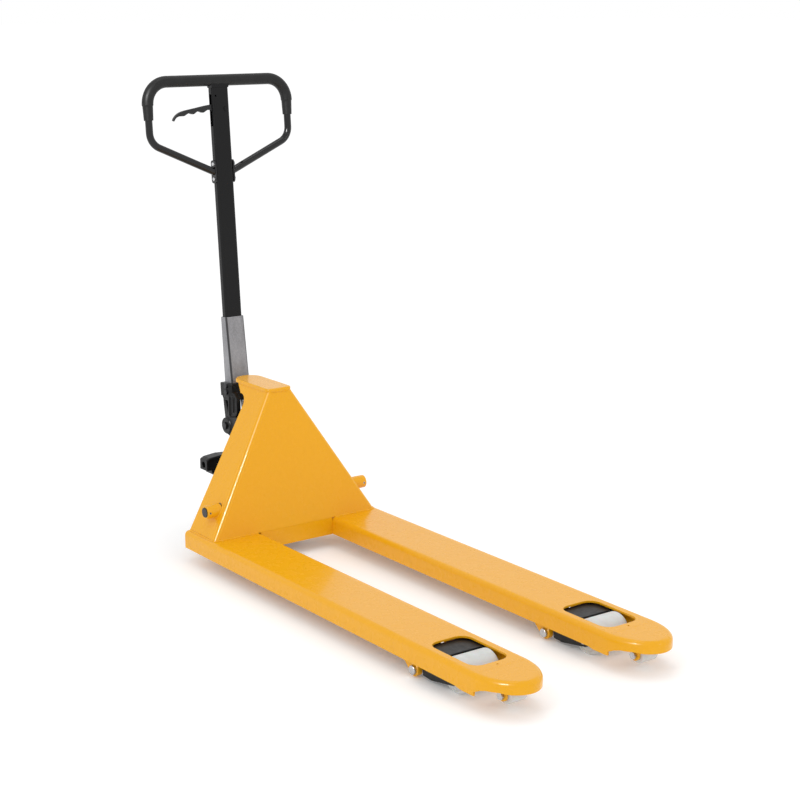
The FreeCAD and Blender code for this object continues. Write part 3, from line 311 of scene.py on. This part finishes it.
def piece_from(mesh, name, body, look, sharp=35.0):
    """Turns a bmesh into a piece that rides on a body, shaded smooth but for edges over sharp degrees."""
    limit = math.radians(sharp)
    for face in mesh.faces:
        face.smooth = True
    for edge in mesh.edges:
        if len(edge.link_faces) == 2:
            edge.smooth = edge.calc_face_angle(0) < limit
    data = bpy.data.meshes.new(name)
    mesh.to_mesh(data)
    mesh.free()
    piece = bpy.data.objects.new(name, data)
    bpy.context.scene.collection.objects.link(piece)
    finish_piece(piece, look)
    weighted = piece.modifiers.new("even_normals", "WEIGHTED_NORMAL")
    weighted.keep_sharp = True
    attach(piece, body)
    return piece


def node_mesh(node):
    """A CAD node's surface as a bmesh, its triangles joined where they are flat."""
    mesh = bmesh.new()
    mesh.from_mesh(frame["nodes"][node].data)
    bmesh.ops.remove_doubles(mesh, verts=mesh.verts, dist=2e-6)
    bmesh.ops.dissolve_limit(mesh, angle_limit=math.radians(0.4), verts=mesh.verts, edges=mesh.edges)
    return mesh


def body_of(node):
    return frame["nodes"][node]["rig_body"]


def bevelled(mesh, width, clamp=False):
    """Rounds over the sharp edges of a bmesh."""
    limit = math.radians(38)
    edges = [e for e in mesh.edges if len(e.link_faces) == 2 and abs(e.calc_face_angle(0)) > limit]
    if edges:
        bmesh.ops.bevel(mesh, geom=edges, offset=width, segments=2, profile=0.6, affect="EDGES",
                        clamp_overlap=clamp)
    return mesh


def softened(node, look, width, clamp=False):
    """Stands for a CAD node with its sharp edges rounded over."""
    mesh = bevelled(node_mesh(node), width, clamp)
    piece = piece_from(mesh, node + "_detail", body_of(node), look)
    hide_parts(node)


def lathe(mesh, profile, centre, segments):
    """Turns a closed outline of (radius, y) round the Y axis through a point, into a bmesh."""
    rings = []
    for i in range(segments):
        a = 2 * math.pi * i / segments
        rings.append([mesh.verts.new(centre + Vector((r * math.cos(a), y, r * math.sin(a))))
                      for r, y in profile])
    count = len(profile)
    for i in range(segments):
        here, there = rings[i], rings[(i + 1) % segments]
        for j in range(count):
            k = (j + 1) % count
            mesh.faces.new((here[j], here[k], there[k], there[j]))
    bmesh.ops.recalc_face_normals(mesh, faces=mesh.faces)
    return mesh


def swept(mesh, path, radius_at, sides, closed):
    """A tube along points, its radius a function of the distance along them."""
    count = len(path)
    rings = []
    travelled = 0.0
    side = None
    for i, point in enumerate(path):
        before = path[i - 1] if (i > 0 or closed) else point
        after = path[(i + 1) % count] if (i < count - 1 or closed) else point
        along = (after - before).normalized()
        if side is None:
            side = along.orthogonal().normalized()
        side = (side - along * side.dot(along)).normalized()
        up = along.cross(side)
        r = radius_at(travelled)
        rings.append([mesh.verts.new(point + (side * math.cos(a) + up * math.sin(a)) * r)
                      for a in (2 * math.pi * k / sides for k in range(sides))])
        if i < count - 1:
            travelled += (path[i + 1] - point).length
    pairs = list(zip(rings, rings[1:]))
    if closed:
        pairs.append((rings[-1], rings[0]))
    for here, there in pairs:
        for k in range(sides):
            n = (k + 1) % sides
            mesh.faces.new((here[k], here[n], there[n], there[k]))
    if not closed:
        mesh.faces.new(rings[0][::-1])
        mesh.faces.new(rings[-1])


def even_steps(points, step):
    """The same line with points about a step apart."""
    made = [points[0]]
    for first, second in zip(points, points[1:]):
        parts = max(1, round((second - first).length / step))
        made += [first.lerp(second, (i + 1) / parts) for i in range(parts)]
    return made


def weld_bead(name, points, radius, closed=False):
    """A rippled and painted bead of weld along a line on the frame."""
    pitch = 1.1 * radius
    phase = random.Random(name).random() * 6

    def radius_at(s):
        ripple = abs(math.sin(math.pi * s / pitch + phase))
        return radius * (0.84 + 0.16 * ripple + 0.06 * math.sin(s / (9 * radius) + phase))

    mesh = bmesh.new()
    swept(mesh, even_steps(points, pitch / 5), radius_at, sides=10, closed=closed)
    bmesh.ops.recalc_face_normals(mesh, faces=mesh.faces)
    piece_from(mesh, name, "frame", "truck_paint", sharp=80)


# ---- welds of the frame ------------------------------------------------------------------------------

def flange_y(z):
    return FLANGE_FOOT_Y - FLANGE_LEAN * (z - FORK_TOP)


def panel_x(z):
    return PANEL_FOOT_X - PANEL_LEAN * (z - FORK_TOP)


WELD_START = 8 * MM                            # from a back edge to the start of its weld
COLLAR_WELD_R = 17.5 * MM


def foot_weld(side, sign):
    """From a fork's inner edge along the panel's foot, round the bend and back along the flange."""
    z = FORK_TOP + 0.4 * MM
    bend_x = PANEL_FOOT_X - CORNER_R
    bend_y = FLANGE_FOOT_Y - CORNER_R
    line = [Vector((PANEL_FOOT_X, sign * (FORK_INNER + 8 * MM), z)),
            Vector((PANEL_FOOT_X, sign * bend_y, z))]
    for i in range(1, 7):
        a = math.radians(15 * i)
        line.append(Vector((bend_x + CORNER_R * math.cos(a), sign * (bend_y + CORNER_R * math.sin(a)), z)))
    line.append(Vector((HEEL_X + WELD_START, sign * FLANGE_FOOT_Y, z)))
    weld_bead("weld_panel_foot_" + side, line, 2.6 * MM)


def collar_weld(side, sign):
    """Round a collar, on the leaning face of its flange."""
    collar = centre_of("rocker_shaft")
    around = []
    for i in range(48):
        a = 2 * math.pi * i / 48
        z = collar.z + COLLAR_WELD_R * math.sin(a)
        around.append(Vector((collar.x + COLLAR_WELD_R * math.cos(a), sign * flange_y(z), z)))
    weld_bead("weld_collar_" + side, around, 2.2 * MM, closed=True)


def top_weld():
    """Round both sides and the front of the top plate, with its corners cut."""
    z = A_FRAME_TOP - 0.6 * MM
    half = flange_y(z) - 0.3 * MM
    front = panel_x(z)
    side_line = [(FRAME_LOW.x + WELD_START, half), (front - 12 * MM, half),
                 (front - 3 * MM, half - 5 * MM), (front, half - 13 * MM)]
    line = [Vector((x, -y, z)) for x, y in side_line]
    line += [Vector((x, y, z)) for x, y in reversed(side_line)]
    weld_bead("weld_top_plate", line, 2.0 * MM)


def frame_welds():
    for side, sign in SIDES.items():
        foot_weld(side, sign)
        collar_weld(side, sign)
    top_weld()


def nose_seams():
    """The ground-down weld across each fork where its pressed nose joins the deck."""
    inset = 15 * MM
    for side in SIDES:
        low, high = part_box("fork_" + side)
        x = high.x - NOSE_SEAM
        z = high.z - 0.25 * MM
        line = [Vector((x, low.y + inset, z)), Vector((x, high.y - inset, z))]
        weld_bead("nose_seam_" + side, line, 0.5 * MM)


# ---- castings ----------------------------------------------------------------------------------------

def add_block(mesh, low, high):
    """A box between two opposite corners."""
    v = []
    for x in (low[0], high[0]):
        for y in (low[1], high[1]):
            v += [mesh.verts.new((x, y, z)) for z in (low[2], high[2])]
    for a, b, c, d in ((0, 1, 3, 2), (4, 6, 7, 5), (0, 4, 5, 1), (2, 3, 7, 6), (0, 2, 6, 4), (1, 5, 7, 3)):
        mesh.faces.new((v[a], v[b], v[c], v[d]))


def add_disc(mesh, centre, radius, low, high, segments=32):
    """An upright cylinder."""
    turns = [2 * math.pi * i / segments for i in range(segments)]
    top = [mesh.verts.new((centre[0] + radius * math.cos(a), centre[1] + radius * math.sin(a), high))
           for a in turns]
    low_ring = [mesh.verts.new((v.co.x, v.co.y, low)) for v in top]
    mesh.faces.new(top)
    mesh.faces.new(low_ring[::-1])
    for i in range(segments):
        n = (i + 1) % segments
        mesh.faces.new((low_ring[i], low_ring[n], top[n], top[i]))


def casting(node, voxel, rounds, extras=None, machine=None):
    """Stands for a CAD node with the rounded edges and filled corners of a casting.

    Extras adds shapes to the bmesh first, and machine cuts the finished skin."""
    mesh = bmesh.new()
    mesh.from_mesh(frame["nodes"][node].data)
    bmesh.ops.remove_doubles(mesh, verts=mesh.verts, dist=2e-6)
    if extras:
        extras(mesh)
    bmesh.ops.recalc_face_normals(mesh, faces=mesh.faces)
    data = bpy.data.meshes.new(node + "_rough")
    mesh.to_mesh(data)
    mesh.free()
    rough = bpy.data.objects.new(node + "_rough", data)
    bpy.context.scene.collection.objects.link(rough)
    remesh = rough.modifiers.new("skin", "REMESH")
    remesh.mode = "VOXEL"
    remesh.voxel_size = voxel
    smooth = rough.modifiers.new("soften", "SMOOTH")
    smooth.factor = 0.5
    smooth.iterations = rounds
    bpy.context.view_layer.update()
    graph = bpy.context.evaluated_depsgraph_get()
    skin = bpy.data.meshes.new_from_object(rough.evaluated_get(graph), depsgraph=graph)
    bpy.data.objects.remove(rough)
    skin.name = node + "_cast"
    if machine:
        machine(skin)
    for polygon in skin.polygons:
        polygon.use_smooth = True
    piece = bpy.data.objects.new(node + "_cast", skin)
    bpy.context.scene.collection.objects.link(piece)
    finish_piece(piece, "cast_black")
    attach(piece, body_of(node))
    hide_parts(node)


def pump_extras(mesh):
    """Side ribs, bosses and a raised cap on the pump's reservoir."""
    axis = centre_of("gland_nut")
    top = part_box("filler_plug")[0].z
    rib_y = 53.5 * MM
    rib_half_length = 14 * MM
    rib_half_width = 5 * MM
    for sign in (-1, 1):
        add_block(mesh, (axis.x - rib_half_length, sign * rib_y - rib_half_width, top - 58 * MM),
                  (axis.x + rib_half_length, sign * rib_y + rib_half_width, top - 8 * MM))
    boss_circle = 46 * MM
    for angle in (20, 100, 150, 210, 260):
        a = math.radians(angle)
        place = (axis.x + boss_circle * math.cos(a), axis.y + boss_circle * math.sin(a))
        add_disc(mesh, place, 8 * MM, top - 10 * MM, top + 5 * MM)
    add_disc(mesh, (axis.x, axis.y), 40 * MM, top - 2 * MM, top + 10 * MM, 48)


BORE_PAST = 0.02                               # share of a bore's length that is opened past each end


def open_bore(skin, foot, head, radius):
    """Pushes a casting's skin out to a radius round the line from foot to head."""
    for v in skin.vertices:
        share = (v.co.z - foot.z) / (head.z - foot.z)
        if -BORE_PAST < share < 1 + BORE_PAST:
            axis = foot.lerp(head, share)
            out = v.co - axis
            if 0 < out.length < radius:
                v.co = axis + out.normalized() * radius


SEAT_R = 15 * MM                               # the faced seat of the plunger's spring
PLUNGER_BORE_R = 9 * MM
RAM_CLEARANCE = 0.4 * MM
CHAIN_CLEARANCE = 1.6 * MM


def machine_pump(skin):
    """Opens the pump's bores to a running fit, and faces the seat of the plunger's spring."""
    axis = centre_of("pump_plunger")
    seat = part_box("plunger_spring")[0].z - 0.8 * MM
    for v in skin.vertices:
        reach = math.hypot(v.co.x - axis.x, v.co.y - axis.y)
        if reach < SEAT_R and seat < v.co.z < seat + 4 * MM:
            v.co.z = seat
    open_bore(skin, Vector((axis.x, axis.y, seat - 40 * MM)), Vector((axis.x, axis.y, seat)), PLUNGER_BORE_R)
    ram_low, ram_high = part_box("ram")
    middle = (ram_low + ram_high) / 2
    ram_r = (ram_high.y - ram_low.y) / 2
    open_bore(skin, Vector((middle.x, middle.y, ram_low.z)), Vector((middle.x, middle.y, ram_high.z)),
              ram_r + RAM_CLEARANCE)
    chain_low, chain_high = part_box("lower_chain")
    link = (chain_high.y - chain_low.y) / 2
    chain_y = (chain_high.y + chain_low.y) / 2
    open_bore(skin, Vector((chain_high.x - link, chain_y, chain_low.z)),
              Vector((chain_low.x + link, chain_y, chain_high.z)), link + CHAIN_CLEARANCE)


def base_extras(mesh):
    """The lip in front of the socket's foot, and two ribs down each cheek."""
    socket_low, socket_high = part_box("handle_socket")
    lip_half_width = 36 * MM
    add_block(mesh, (socket_high.x - 3 * MM, -lip_half_width, socket_low.z - 4 * MM),
              (socket_high.x + 5 * MM, lip_half_width, socket_low.z + 32 * MM))
    axle = centre_of("handle_axle")
    rib_y = 34 * MM
    rib_half_width = 3 * MM
    ribs = ((-5, 1, 26), (14, 20, 38))         # back, front and foot of each, in millimetres from the axle
    for sign in (-1, 1):
        for back, front, foot in ribs:
            add_block(mesh, (axle.x + back * MM, sign * rib_y - rib_half_width, axle.z + foot * MM),
                      (axle.x + front * MM, sign * rib_y + rib_half_width, socket_low.z - 2 * MM))


# ---- handle ------------------------------------------------------------------------------------------

def handle_bolts():
    """Plated bolts at the loop, and dark ones at the foot of the socket."""
    split_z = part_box("handle_socket")[1].z
    for name, look, above in (("loop_bolts", "zinc_steel", True), ("socket_bolts", "dark_steel", False)):
        mesh = bevelled(node_mesh("handle_bolts"), 0.5 * MM)
        others = [v for v in mesh.verts if (v.co.z > split_z) != above]
        bmesh.ops.delete(mesh, geom=others, context="VERTS")
        piece = piece_from(mesh, name, body_of("handle_bolts"), look)
        if above:
            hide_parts("handle_bolts")


# heights above an end of the grip, in millimetres
SLEEVE_CUTS = (2, 4, 8, 14, 24, 33, 35, 37, 39)
GROOVE_FOOT = 36
GROOVE_HEAD = 38
SLEEVE_END = 45                                # above this the grip is left as it is
LEAST_R = 11 * MM                              # points nearer the middle than this stay in place


def drawn_in(rise):
    """How many millimetres the grip's surface draws in, at a height above its end."""
    if rise < GROOVE_FOOT:
        return 1.5 + 1.3 * max(0.0, 1 - rise / 34)
    return 0.9 if rise < GROOVE_HEAD else 0.0


def grip_sleeve():
    """Stands for the grip: its last 36 mm at each end draw in to a thin lip, with a groove above."""
    mesh = bmesh.new()
    mesh.from_mesh(frame["nodes"]["handle_grip"].data)
    bmesh.ops.remove_doubles(mesh, verts=mesh.verts, dist=2e-6)
    up = Vector((-math.sin(math.radians(HANDLE_LEAN)), 0, math.cos(math.radians(HANDLE_LEAN))))
    side_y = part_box("handle_grip")[1].y - GRIP_R
    start = min(v.co.dot(up) for v in mesh.verts)
    for cut in SLEEVE_CUTS:
        bmesh.ops.bisect_plane(mesh, geom=mesh.verts[:] + mesh.edges[:] + mesh.faces[:],
                               plane_co=up * (start + cut * MM), plane_no=up)
    end_ring = [v.co for v in mesh.verts if v.co.dot(up) < start + 0.1 * MM]
    middle = sum(end_ring, Vector()) / len(end_ring)
    for v in mesh.verts:
        rise = (v.co.dot(up) - start) / MM
        if rise > SLEEVE_END:
            continue
        axis = middle + up * (v.co - middle).dot(up)
        axis.y = math.copysign(side_y, v.co.y)
        out = v.co - axis
        if out.length >= LEAST_R:
            v.co = axis + out.normalized() * (out.length - drawn_in(rise) * MM)
    piece = piece_from(mesh, "grip_sleeve", body_of("handle_grip"), "grip_rubber")
    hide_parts("handle_grip")


# ---- rollers, wheels and bearings --------------------------------------------------------------------

def round_size(node):
    """Centre, radius and half width of a node that is round about the Y axis."""
    low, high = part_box(node)
    return (low + high) / 2, (high.z - low.z) / 2, (high.y - low.y) / 2


def mirrored(profile):
    """An outline of (radius, y) carried on to the other side of y = 0."""
    return profile + [(radius, -y) for radius, y in reversed(profile)]


def load_roller(side):
    centre, r, half = round_size("load_roller_" + side)
    bore = 14 * MM
    depth = half - 33 * MM
    # from a bearing's seat over the face, with a shallow ring, to the tread
    face = [(BEARING_R, half - 1 * MM), (BEARING_R + 1 * MM, half), (r - 11 * MM, half),
            (r - 10 * MM, half - 1.2 * MM), (r - 8 * MM, half - 1.2 * MM), (r - 7 * MM, half),
            (r - 5 * MM, half), (r - 2.2 * MM, half - 0.8 * MM), (r - 0.8 * MM, half - 2.2 * MM),
            (r, half - 5 * MM), (r, half - 14 * MM)]
    inside = [(BEARING_R, -half + depth), (bore, -half + depth), (bore, half - depth),
              (BEARING_R, half - depth)]
    mesh = lathe(bmesh.new(), mirrored(face) + inside, centre, 96)
    piece = piece_from(mesh, "load_roller_turned_" + side, "load_roller_" + side, "white_nylon")
    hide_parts("load_roller_" + side)


def bearings(node, body, name):
    """Sealed ball bearings: two races with a sunk rubber shield between them."""
    ys = sorted({round(v.co.y, 5) for v in frame["nodes"][node].data.vertices})
    middle = (ys[0] + ys[-1]) / 2
    groups = [[y for y in ys if y < middle], [y for y in ys if y >= middle]]
    centre = centre_of(node)
    centre.y = 0
    outer = BEARING_R - 3.2 * MM
    inner = BEARING_BORE_R + 3.0 * MM
    soft = 0.4 * MM
    steel = bmesh.new()
    shield = bmesh.new()
    for group in groups:
        y0, y1 = group[0], group[-1]
        lathe(steel, [(outer, y0), (BEARING_R - soft, y0), (BEARING_R, y0 + soft), (BEARING_R, y1 - soft),
                      (BEARING_R - soft, y1), (outer, y1)], centre, 64)
        lathe(steel, [(BEARING_BORE_R, y0 + soft), (BEARING_BORE_R + soft, y0), (inner, y0), (inner, y1),
                      (BEARING_BORE_R + soft, y1), (BEARING_BORE_R, y1 - soft)], centre, 64)
        for face_y, into in ((y0, 1), (y1, -1)):
            lathe(shield, [(inner, face_y + into * 1.0 * MM), (inner + 1 * MM, face_y + into * 0.5 * MM),
                           (outer - 1 * MM, face_y + into * 0.5 * MM), (outer, face_y + into * 1.0 * MM),
                           (outer, face_y + into * 1.8 * MM), (inner, face_y + into * 1.8 * MM)], centre, 64)
    races = piece_from(steel, name + "_races", body, "bearing_steel")
    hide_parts(node)
    piece_from(shield, name + "_shields", body, "seal_rubber")


RIM_R = 72 * MM                                # between the tyre and the hub
WEB = 7 * MM                                   # half the thickness of the hub's web
BOSS_R = 30 * MM
DISH_R = 60 * MM


def steer_tyre(side):
    centre, r, half = round_size("steer_tyre_" + side)
    # from the rim up the side wall to the tread, with a fine line round its middle
    wall = [(RIM_R, half), (RIM_R + 3 * MM, half), (RIM_R + 4 * MM, half - 0.8 * MM),
            (r - 8 * MM, half - 0.8 * MM), (r - 7 * MM, half), (r - 4.6 * MM, half - 0.6 * MM),
            (r - 2 * MM, half - 2.4 * MM), (r - 0.6 * MM, half - 5 * MM), (r, half - 8 * MM),
            (r, 1.0 * MM), (r - 0.5 * MM, 0.6 * MM)]
    tyre = piece_from(lathe(bmesh.new(), mirrored(wall), centre, 128), "tyre_" + side,
                      "steer_wheel_" + side, "wheel_rubber")
    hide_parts("steer_tyre_" + side)


def hub_rib(mesh, centre, turn, face_sign, edge):
    """A tapered rib from the boss to the dish, on one face of the web."""
    out = Vector((math.cos(turn), 0, math.sin(turn)))
    across = Vector((-math.sin(turn), 0, math.cos(turn)))
    v = []
    for radius, reach in ((BOSS_R - 2 * MM, edge - 1.5 * MM), (DISH_R + 2 * MM, edge - 3 * MM)):
        for width, y in ((4 * MM, WEB - 1 * MM), (2.6 * MM, reach)):
            for hand in (-1, 1):
                corner = centre + out * radius + across * (hand * width) + Vector((0, face_sign * y, 0))
                v.append(mesh.verts.new(corner))
    for q in ((0, 1, 3, 2), (4, 6, 7, 5), (0, 2, 6, 4), (1, 5, 7, 3), (2, 3, 7, 6), (0, 4, 5, 1)):
        mesh.faces.new([v[k] for k in q])


def steer_hub(side):
    centre, _, half = round_size("steer_tyre_" + side)
    edge = half - 2 * MM
    # from the bore over the boss, the web and the dish to the rim
    face = [(13 * MM, WEB), (20 * MM, WEB), (20 * MM, edge - 0.5 * MM), (20.5 * MM, edge),
            (BOSS_R - 1 * MM, edge), (BOSS_R, edge - 1 * MM), (BOSS_R + 2 * MM, WEB + 2 * MM),
            (BOSS_R + 4 * MM, WEB), (DISH_R - 5 * MM, WEB), (DISH_R - 1 * MM, WEB + 3 * MM),
            (DISH_R, edge - 1 * MM), (DISH_R + 1 * MM, edge), (RIM_R - 0.5 * MM, edge),
            (RIM_R, edge - 1 * MM)]
    mesh = lathe(bmesh.new(), mirrored(face), centre, 96)
    for i in range(6):
        for face_sign in (-1, 1):
            hub_rib(mesh, centre, 2 * math.pi * (i + 0.5 * (face_sign > 0)) / 6, face_sign, edge)
    bmesh.ops.recalc_face_normals(mesh, faces=mesh.faces)
    hub = piece_from(mesh, "wheel_hub_" + side, "steer_wheel_" + side, "wheel_metal")
    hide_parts("steer_hub_" + side)


# ---- the rest of the truck ---------------------------------------------------------------------------

SOFTENED = {
    # look: {node: how far its edges are rounded, in millimetres}
    "truck_paint": {"fork_right": 0.9, "fork_left": 0.9, "a_frame_panel": 0.9, "cross_member": 0.8,
                    "ram_seat": 1.0, "shaft_collars": 1.0, "roller_frame_lugs": 1.0, "entry_roller_lugs": 1.0,
                    "top_plate": 0.6},
    "black_paint": {"rocker_arm": 1.2, "push_rod_right": 1.0, "push_rod_left": 1.0, "thrust_plate": 1.2,
                    "rocker_shaft": 1.2, "gland_nut": 0.6},
    "tube_paint": {"handle_tube": 0.5, "handle_saddle": 0.8, "handle_pins": 0.6},
    "zinc_steel": {"shaft_roll_pins": 0.3, "roller_frame_pins": 0.6, "entry_roller_bolts": 1.0,
                   "rocker_pins": 0.6, "roller_axle_right": 0.5, "roller_axle_left": 0.5,
                   "steer_axle": 0.5, "release_pins": 0.4, "pump_plunger": 0.8, "filler_plug": 0.8},
    "bearing_steel": {"thrust_bearing": 1.0, "pressure_roller": 0.8},
    "chromed_steel": {"ram": 0.8},
    "dark_steel": {"handle_axle": 0.8},
    "white_nylon": {"entry_roller_right": 0.6, "entry_roller_left": 0.6},
    "seal_rubber": {"ram_wiper": 0.5},
}
AS_MADE = {
    "black_paint": ["handle_loop"],
    "lever_plastic": ["hand_lever"],
    "zinc_steel": ["plunger_spring", "upper_chain", "lower_chain", "control_rod"],
}
CLAMPED = {"rocker_shaft"}                     # its rounded edges would run past each other


def dress_frame():
    for look, nodes in SOFTENED.items():
        for node, width in nodes.items():
            softened(node, look, width * MM, clamp=node in CLAMPED)
    for look, nodes in AS_MADE.items():
        for node in nodes:
            finish_piece(frame["nodes"][node], look)
    # node, voxel size, rounds of smoothing
    casting("pump_body", 1.6 * MM, 5, pump_extras, machine_pump)
    casting("handle_base", 1.3 * MM, 4, base_extras)
    softened("handle_socket", "galvanised", 0.6 * MM)
    casting("release_lever", 1.2 * MM, 3)
    grip_sleeve()
    handle_bolts()
    for side in SIDES:
        casting("roller_frame_" + side, 1.4 * MM, 4)
        load_roller(side)
        steer_tyre(side)
        steer_hub(side)
        bearings("roller_bearings_" + side, "load_roller_" + side, "roller_bearing_" + side)
        bearings("steer_bearings_" + side, "steer_wheel_" + side, "steer_bearing_" + side)


# ---- studio and camera -------------------------------------------------------------------------------

FLOOR_REACH = 80


def white_world():
    world = bpy.data.worlds.new("studio")
    bpy.context.scene.world = world
    world.use_nodes = True
    sky = world.node_tree.nodes["Background"]
    sky.inputs["Color"].default_value = (1.0, 1.0, 1.0, 1)
    sky.inputs["Strength"].default_value = 1.0


def white_floor():
    """Glows a little, so that it reads as white as the world behind it."""
    mesh = bmesh.new()
    bmesh.ops.create_grid(mesh, x_segments=8, y_segments=8, size=FLOOR_REACH)
    data = bpy.data.meshes.new("floor")
    mesh.to_mesh(data)
    mesh.free()
    floor = bpy.data.objects.new("floor", data)
    bpy.context.scene.collection.objects.link(floor)
    surface = Nodes("floor_surface")
    tone = surface.mix(surface.spread(surface.noise(240, 3), 0, 1), (0.95, 0.95, 0.95), (0.93, 0.93, 0.93))
    surface.link(tone, surface.shader.inputs["Base Color"])
    surface.set(Roughness=0.9, Specular_IOR_Level=0.0, Emission_Color=(1, 1, 1, 1), Emission_Strength=0.12)
    floor.data.materials.append(surface.material)


def lamps():
    lights = {
        # name: (place, aimed at, size, watts, lights the surfaces as well as showing in their gloss)
        "key": ((1.6, -3.4, 3.4), (0.1, 0, 0.3), 0.45, 14, True),
        "fill": ((3.6, 1.6, 2.4), (0.0, 0, 0.4), 0.4, 5, True),
        "top": ((-0.2, 0.2, 4.2), (0.1, 0, 0.0), 1.2, 10, True),
        "shine": ((1.6, -3.5, 3.4), (0.1, 0, 0.3), 0.9, 260, False),
    }
    for name, (place, target, size, watts, lights_up) in lights.items():
        lamp = bpy.data.lights.new(name, "AREA")
        lamp.shape = "SQUARE"
        lamp.size = size
        lamp.energy = watts
        holder = bpy.data.objects.new(name, lamp)
        holder.location = place
        aim = Vector(target) - Vector(place)
        holder.rotation_mode = "QUATERNION"
        holder.rotation_quaternion = aim.to_track_quat("-Z", "Y")
        holder.visible_diffuse = lights_up
        bpy.context.scene.collection.objects.link(holder)


def camera():
    """Stands beyond the fork tips, to the right, and looks down a little at the whole truck."""
    data = bpy.data.cameras.new("camera")
    data.sensor_width = 36
    data.lens = 76.73
    holder = bpy.data.objects.new("camera", data)
    turn = math.radians(143.68)
    dip = math.radians(13.31)
    ahead = Vector((math.cos(turn) * math.cos(dip), math.sin(turn) * math.cos(dip), -math.sin(dip)))
    holder.location = (3.1788, -2.2941, 1.4176)
    holder.rotation_mode = "QUATERNION"
    holder.rotation_quaternion = ahead.to_track_quat("-Z", "Y")
    data.clip_start = 0.05
    data.clip_end = 500
    bpy.context.scene.collection.objects.link(holder)
    bpy.context.scene.camera = holder


frame_welds()
nose_seams()
dress_frame()
white_world()
white_floor()
lamps()
camera()
bpy.context.scene.view_settings.view_transform = "Standard"
